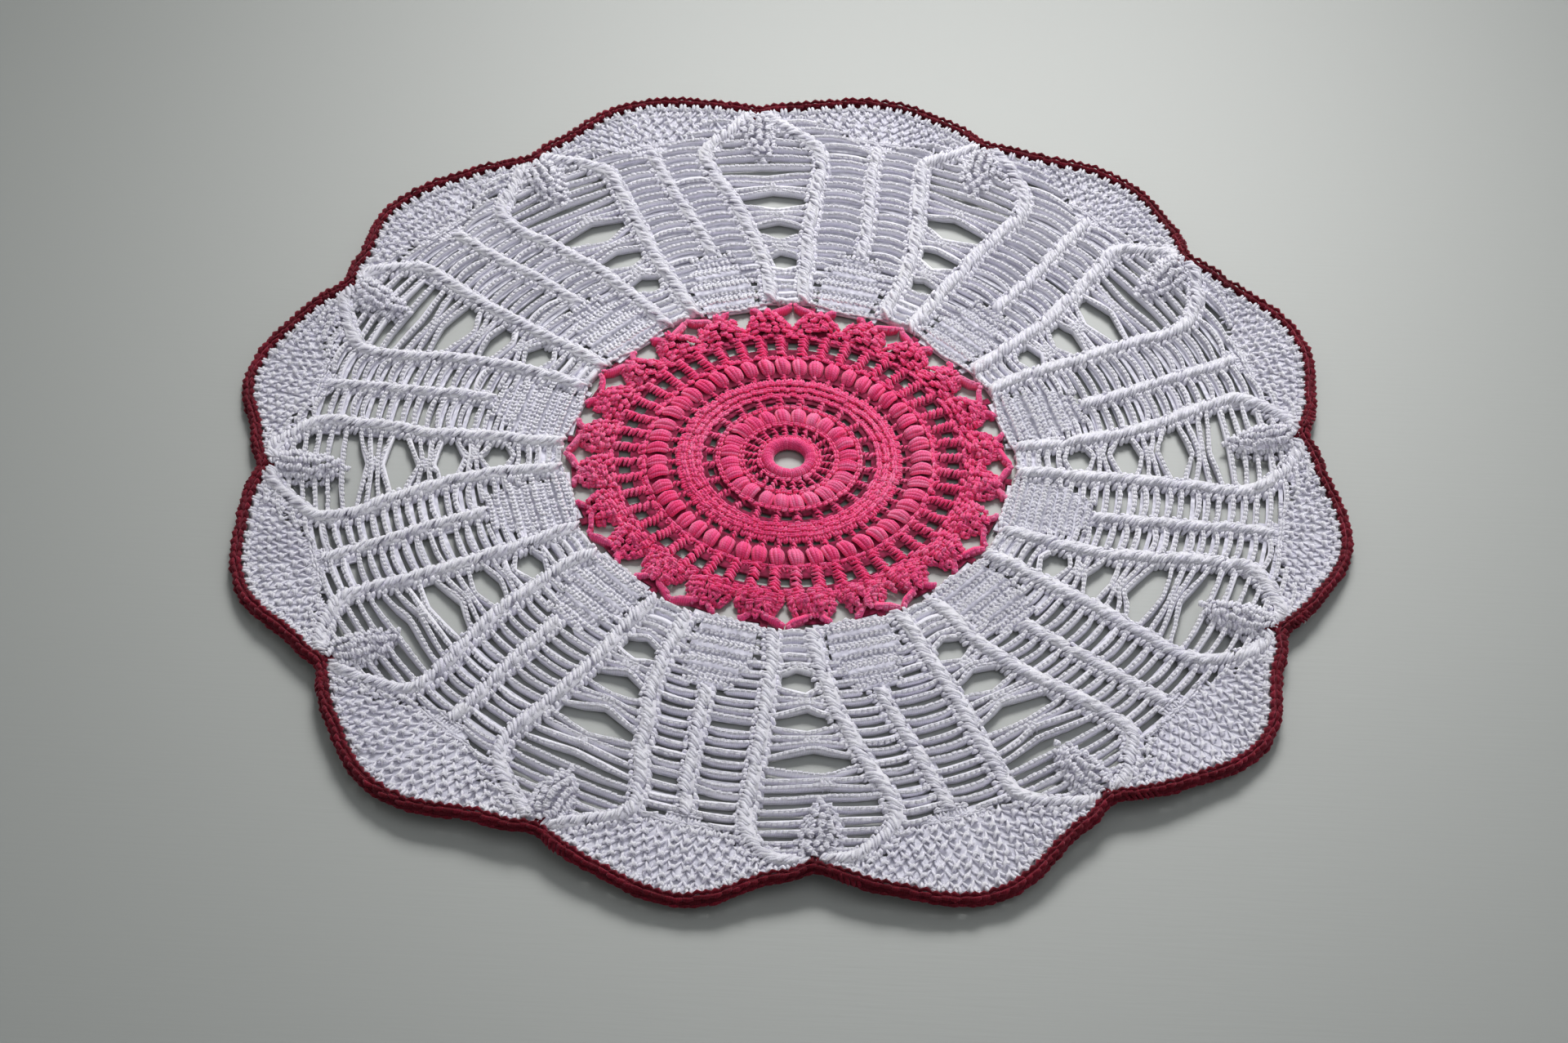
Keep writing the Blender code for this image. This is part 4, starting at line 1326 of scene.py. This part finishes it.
def shells():
    """The pointed shells of the last pink rounds, and the chain arms that reach the white."""
    for k in range(SHELLS):
        middle = MEDALLION_TURN + (k + 0.5) * SHELL_PITCH
        for radius, half, rise in SHELL_ROWS:
            share = np.linspace(-1.0, 1.0, 8)
            course = polar(radius, middle + half * share, 1.5 * (1.0 - share ** 2) * rise - 0.5)
            work(course, 1.7, DENSE, 0.56, (0.95, 0.70, rise), strand=BEAD, loose=0.32)
        for side in (1, -1):
            at_leaf = (k + max(side, 0)) % 2 == 0
            reach, height = (7.4, 1.3) if at_leaf else (4.6, 1.2)
            out = float(seam_radius(middle + side * reach)) - (0.004 if at_leaf else 0.0)
            angles = middle + side * np.array((0.8, 2.2, reach * 0.7, reach))
            chain(polar((0.374, 0.384, 0.392, out), angles, height), 0.48, 1.6, roll=rng.normal(0.0, 20.0))


medallion_rounds()
shells()
medallion_piece = finish_piece("pink_medallion", pink_yarn, "medallion")

# %% [markdown]
# What the pieces are
#
# The two grounds are the cloth, laid flat, and their flat area is what is left of a round sheet once its gaps
# are out. The stitches and the red row are worked on them.

# %% The flat areas of the cloth
print("flat areas in square centimetres:", round(field_area * 1e4), round(medallion_area * 1e4))

# %% [markdown]
# The table
#
# The doily lies on a table painted in a pale matt grey. The brush leaves streaks in the paint, about 1 mm
# wide and 17 mm long and too shallow to see as lines, which soften the lamp's reflection. The table is only
# a stage for the cloth.

# %% The table
STREAKS_TO_A_MM = (0.06, 0.9)
bpy.ops.mesh.primitive_plane_add(size=6.0, location=(0.0, 0.0, 0.0))
table = bpy.context.object
table.name = "floor"
table_paint = bpy.data.materials.new("matt_table_paint")
table_paint.use_nodes = True
paint_tree = table_paint.node_tree
paint = paint_tree.nodes["Principled BSDF"]
paint.inputs["Base Color"].default_value = linear("#9b9e9b")
paint.inputs["Roughness"].default_value = 0.50
place = add_node(paint_tree, "ShaderNodeTexCoord").outputs["Object"]
drawn_out = (STREAKS_TO_A_MM[0] / MM, STREAKS_TO_A_MM[1] / MM, 1.0)
stretch = add_node(paint_tree, "ShaderNodeMapping", {"Scale": drawn_out}, {0: place})
streaks = add_node(paint_tree, "ShaderNodeTexNoise", {"Scale": 1.0, "Detail": 2.0}, {0: stretch.outputs[0]})
brushed = add_node(
    paint_tree, "ShaderNodeBump", {"Strength": 0.25, "Distance": 0.1 * MM}, {"Height": streaks.outputs[0]})
paint_tree.links.new(brushed.outputs[0], paint.inputs["Normal"])
table.data.materials.append(table_paint)
table.select_set(False)
print("stage:", table.name, "in", table_paint.name)

# %% [markdown]
# Window light
#
# The light comes from a window behind the cloth, above it and a little to the right. It is soft but not
# wide, so that each stitch throws a short shadow towards the viewer, and the table darkens to the front and
# to the left. A larger lamp high at the right fills the shadows, as a bright room does.

# %% Window light
world = bpy.data.worlds.new("room")
bpy.context.scene.world = world
world.use_nodes = True
world.node_tree.nodes["Background"].inputs["Color"].default_value = linear("#eef0f0")
world.node_tree.nodes["Background"].inputs["Strength"].default_value = 0.35


def soft_light(name, place, width, height, power, colour, spread=180.0, aim=(0.0, 0.0, 0.0)):
    """A broad soft light that looks at a place near the middle of the doily."""
    lamp = bpy.data.lights.new(name, "AREA")
    lamp.shape = "RECTANGLE"
    lamp.size, lamp.size_y = width, height
    lamp.energy = power
    lamp.color = linear(colour)[:3]
    lamp.spread = math.radians(spread)
    holder = bpy.data.objects.new(name, lamp)
    bpy.context.scene.collection.objects.link(holder)
    holder.location = place
    holder.rotation_euler = (Vector(aim) - Vector(place)).to_track_quat("-Z", "Y").to_euler()


soft_light("window", (0.08, 0.76, 0.70), 0.46, 0.36, 0.86, "#fffefd", 43.0, (0.035, 0.085, 0.0))
soft_light("sky_fill", (0.55, -0.25, 1.2), 1.2, 1.0, 2.9, "#f6f8ff")

# %% [markdown]
# The camera
#
# The photograph was taken from 47 degrees above the table, at almost six radii from the doily's middle. The
# picture is 1920 by 1277 pixels, and the doily's middle lies a little left of and above the picture's.

# %% Placing the camera
FOCAL_PIXELS = 3927.0
PICTURE = (1920.0, 1277.0)
MIDDLE_PIXEL = (966.0, 567.7)
ELEVATION = math.radians(47.06)
ROLL = math.radians(2.27)
DISTANCE = 5.816 * RADIUS

forwards = Vector((0.0, math.cos(ELEVATION), -math.sin(ELEVATION)))
rightwards = Vector((1.0, 0.0, 0.0))
upwards = rightwards.cross(forwards)
right = math.cos(ROLL) * rightwards + math.sin(ROLL) * upwards
up = math.cos(ROLL) * upwards - math.sin(ROLL) * rightwards
attitude = Matrix((right, up, -forwards)).transposed()
offset = (MIDDLE_PIXEL[0] - PICTURE[0] / 2, MIDDLE_PIXEL[1] - PICTURE[1] / 2)
ray = Vector((offset[0] / FOCAL_PIXELS, -offset[1] / FOCAL_PIXELS, -1.0)).normalized()

lens = bpy.data.cameras.new("camera")
lens.sensor_width = 36.0
lens.lens = FOCAL_PIXELS / PICTURE[0] * lens.sensor_width
camera = bpy.data.objects.new("camera", lens)
bpy.context.scene.collection.objects.link(camera)
camera.matrix_world = Matrix.Translation(-(attitude @ ray) * DISTANCE) @ attitude.to_4x4()
bpy.context.scene.camera = camera
bpy.context.scene.view_settings.view_transform = "Standard"
print("camera", [round(v, 3) for v in camera.location], "lens in mm:", round(lens.lens, 1))
